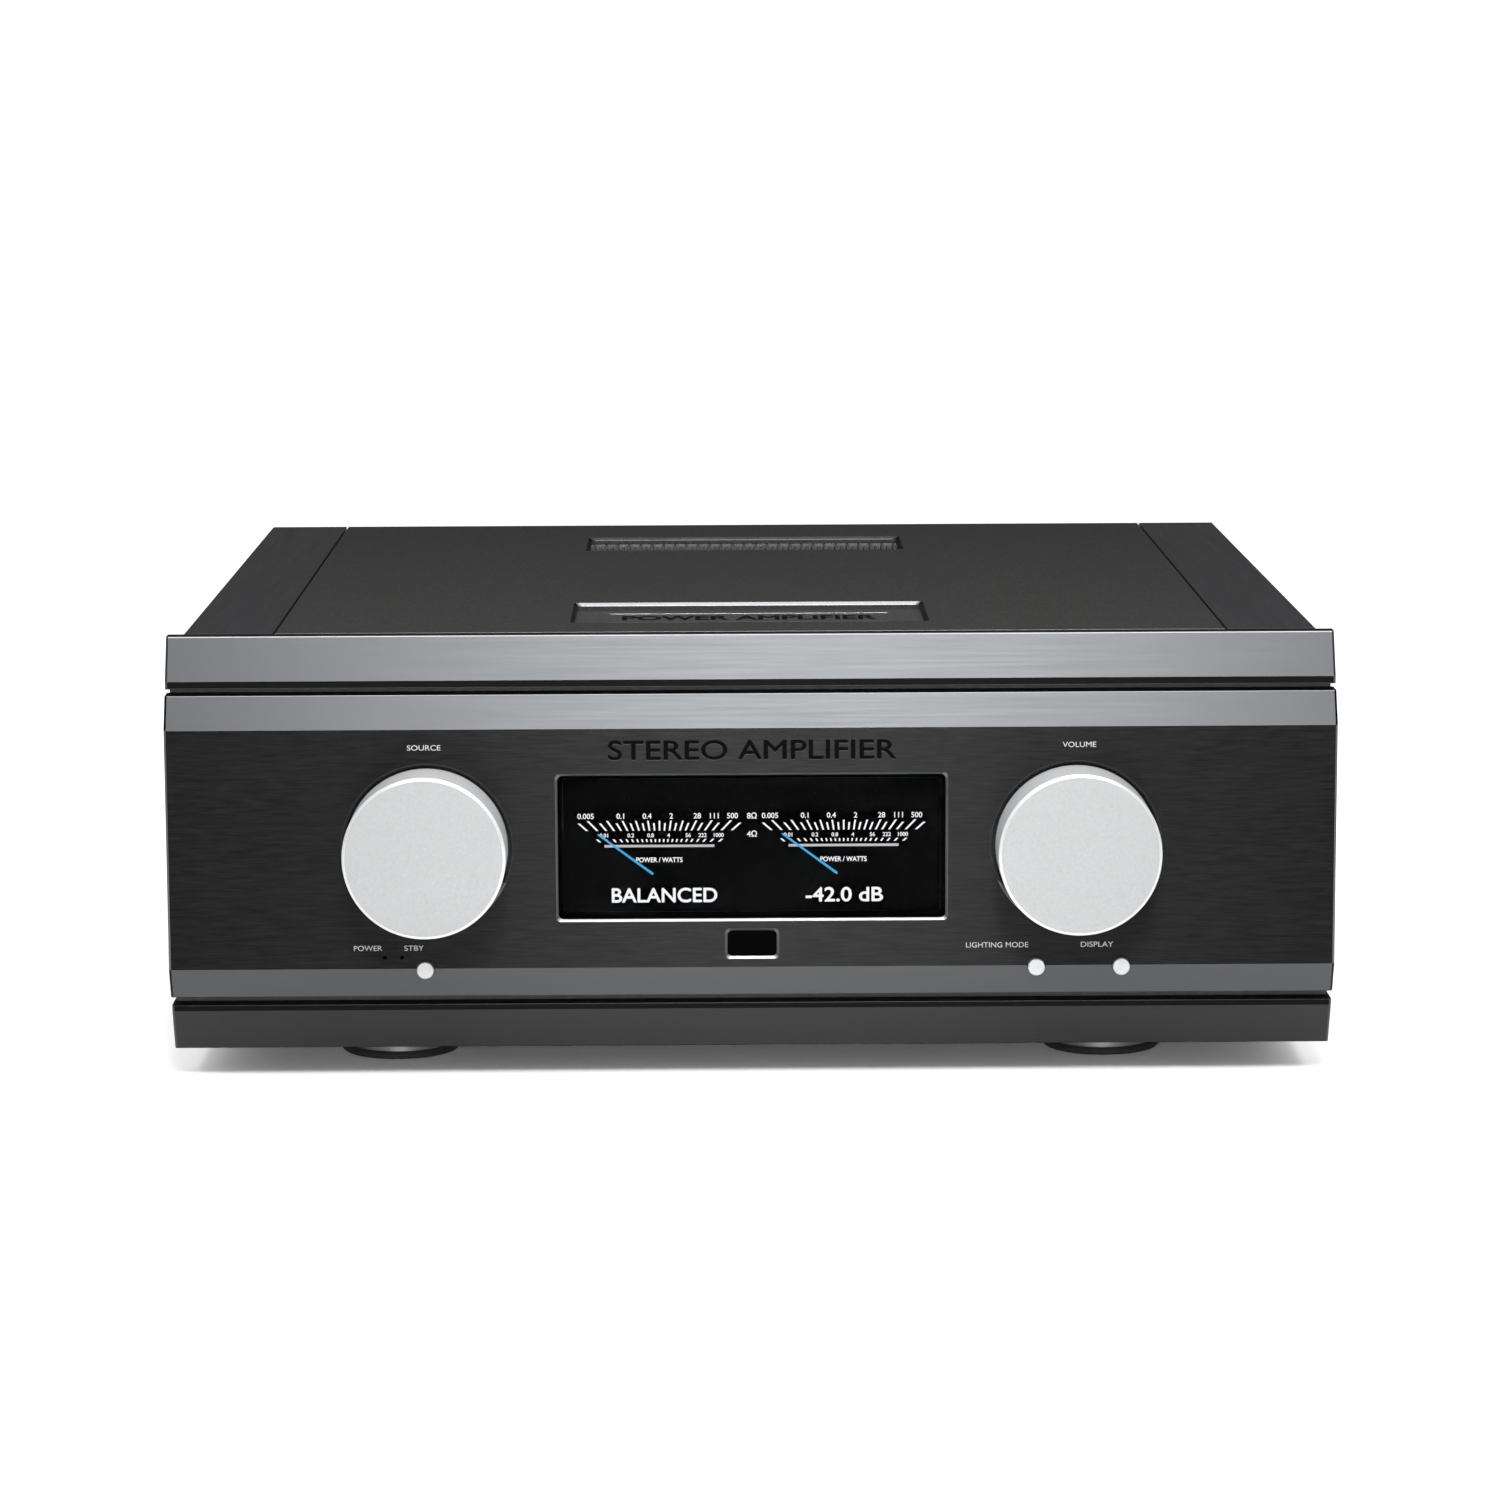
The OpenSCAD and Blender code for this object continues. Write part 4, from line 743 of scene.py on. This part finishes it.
def display_picture():
    """Two power meters with their needles, and a line of words under each."""
    white, grey, blue = bmesh.new(), bmesh.new(), bmesh.new()

    def words(text, x, z, width, height, bold):
        add_words(white, text, (x, Y_PICTURE, z), FRONT, width, height, PICTURE_SKIN, bold)

    for cx in METER_XS:
        meter_ticks(white, cx)
        for text, x in OUTER_NUMBERS:
            words(text, cx + x / 1000, OUTER_Z, None, 0.0022, 3e-5)
        for text, x in INNER_NUMBERS:
            words(text, cx + x / 1000, INNER_Z, None, 0.0016, 4e-5)
        words("POWER / WATTS", cx - 0.0001, UNIT_Z, 0.0191, 0.0020, 5e-5)
        scale_line(grey, cx)
        needle(blue, cx)
    words("8Ω", 0.0001, OUTER_Z, None, 0.0025, 4e-5)
    words("4Ω", 0.0001, INNER_OHM_Z, None, 0.0025, 4e-5)
    words("BALANCED", -0.0362, MESSAGE_Z, 0.0434, 0.0059, 0.00017)
    words("-42.0 dB", 0.0383, MESSAGE_Z, 0.0318, 0.0059, 0.00017)
    made(white, "display_marks", M["lit_white"])
    made(grey, "display_lines", M["lit_grey"])
    made(blue, "display_needles", M["lit_blue"])


display_picture()


# ---------------------------------------------------------------- printed words
TITLE = "STEREO AMPLIFIER"
TITLE_X, TITLE_Z, TITLE_HIGHLIGHT_Z = 0.0003, 0.14122, 0.14100
TITLE_W, TITLE_H, TITLE_BOLD = 0.1183, 0.0079, 0.00022
LABEL_H = 0.0022
KNOB_WORDS_Z, BUTTON_WORDS_Z = 0.1427, 0.0589


def front_print():
    """Black title letters over a paler set that shows below them as a painted highlight on their lower edge,
    and the control words.
    """
    title, edge, bright, dim = (bmesh.new() for _ in range(4))
    highlight_place, title_place = (TITLE_X, Y_FACE, TITLE_HIGHLIGHT_Z), (TITLE_X, Y_FACE, TITLE_Z)
    # The paler set, a little lower, is a painted highlight on the letters' lower edge.
    add_words(edge, TITLE, highlight_place, FRONT, TITLE_W, TITLE_H, SKIN / 2, TITLE_BOLD)
    add_words(title, TITLE, title_place, FRONT, TITLE_W, TITLE_H, SKIN, TITLE_BOLD)
    made(edge, "title_highlights", M["side"])
    made(title, "title_letters", M["engraving"])
    for words, x, width in (("SOURCE", -0.1347, 0.0138), ("VOLUME", 0.1350, 0.0138)):
        add_words(bright, words, (x, Y_FACE, KNOB_WORDS_Z), FRONT, width, LABEL_H, SKIN)
    for words, x, width in (("POWER", -0.1589, 0.0117), ("STBY", -0.1399, 0.0080),
                            ("LIGHTING MODE", 0.1014, 0.0258), ("DISPLAY", 0.1428, 0.0134)):
        add_words(dim, words, (x, Y_FACE, BUTTON_WORDS_Z), FRONT, width, LABEL_H, SKIN)
    made(bright, "knob_words", M["print"])
    made(dim, "button_words", M["print_dim"])


def rear_print():
    """Line numbers, sides, polarity signs and group names beside the rear sockets."""
    bm = bmesh.new()

    def words(text, x, z, height, width=None):
        add_words(bm, text, (x, Y_REAR, z), BACK, width, height, SKIN)

    for i, x in enumerate(RCA_XS):
        words(str(i + 1), x, 0.1615, 0.0030)
    for z, side in ((RCA_HIGH_Z, "R"), (RCA_LOW_Z, "L")):
        words(side, -0.1345, z, 0.0028)
        words(side, 0.0135, z, 0.0028)
    words("LINE", -0.060, 0.1185, 0.0028)
    for (x, z), side in zip(XLR, "RL"):
        words(side, x, 0.1185, 0.0028)
    words("BALANCED", -0.176, 0.1600, 0.0026, 0.020)
    words("TRIGGER", 0.045, 0.1600, 0.0026, 0.016)
    for (x, z), sign in zip(TERMINALS, "-++-"):
        words(sign, x, 0.0765, 0.0034 if sign == "+" else 0.0007, 0.0034)
    for x, side in ((-0.176, "R"), (0.108, "L")):
        words(side, x, 0.0435, 0.0034)
    words("SPEAKERS", -0.034, 0.0600, 0.0030, 0.022)
    words("MAINS", INLET_X, 0.1400, 0.0026, 0.014)
    made(bm, "rear_words", M["print"])


def plaque_print():
    """Black letters between two thin raised lines on the sunk panel."""
    bm = bmesh.new()
    top = PLAQUE_HIGH[2]
    y = (PLAQUE_LOW[1] + PLAQUE_HIGH[1]) / 2
    relief = 1e-4
    add_words(bm, "POWER AMPLIFIER", (0.0, y, top - 1e-5), TOP, 0.108, 0.0135, relief, 0.0004)
    made(bm, "plaque_letters", M["engraving"])
    lines = bmesh.new()
    half_length, half_width, line_gap = 0.060, 0.0003, 0.0145
    for dy in (-line_gap, line_gap):
        corners = [(-half_length, dy - half_width), (half_length, dy - half_width),
                   (half_length, dy + half_width), (-half_length, dy + half_width)]
        lower = [lines.verts.new((x, y + d, top)) for x, d in corners]
        upper = [lines.verts.new((x, y + d, top + relief)) for x, d in corners]
        lines.faces.new(upper)
        lines.faces.new(lower[::-1])
        for i in range(4):
            j = (i + 1) % 4
            lines.faces.new((lower[i], lower[j], upper[j], upper[i]))
    made(lines, "plaque_lines", M["nickel"])


front_print()
rear_print()
plaque_print()
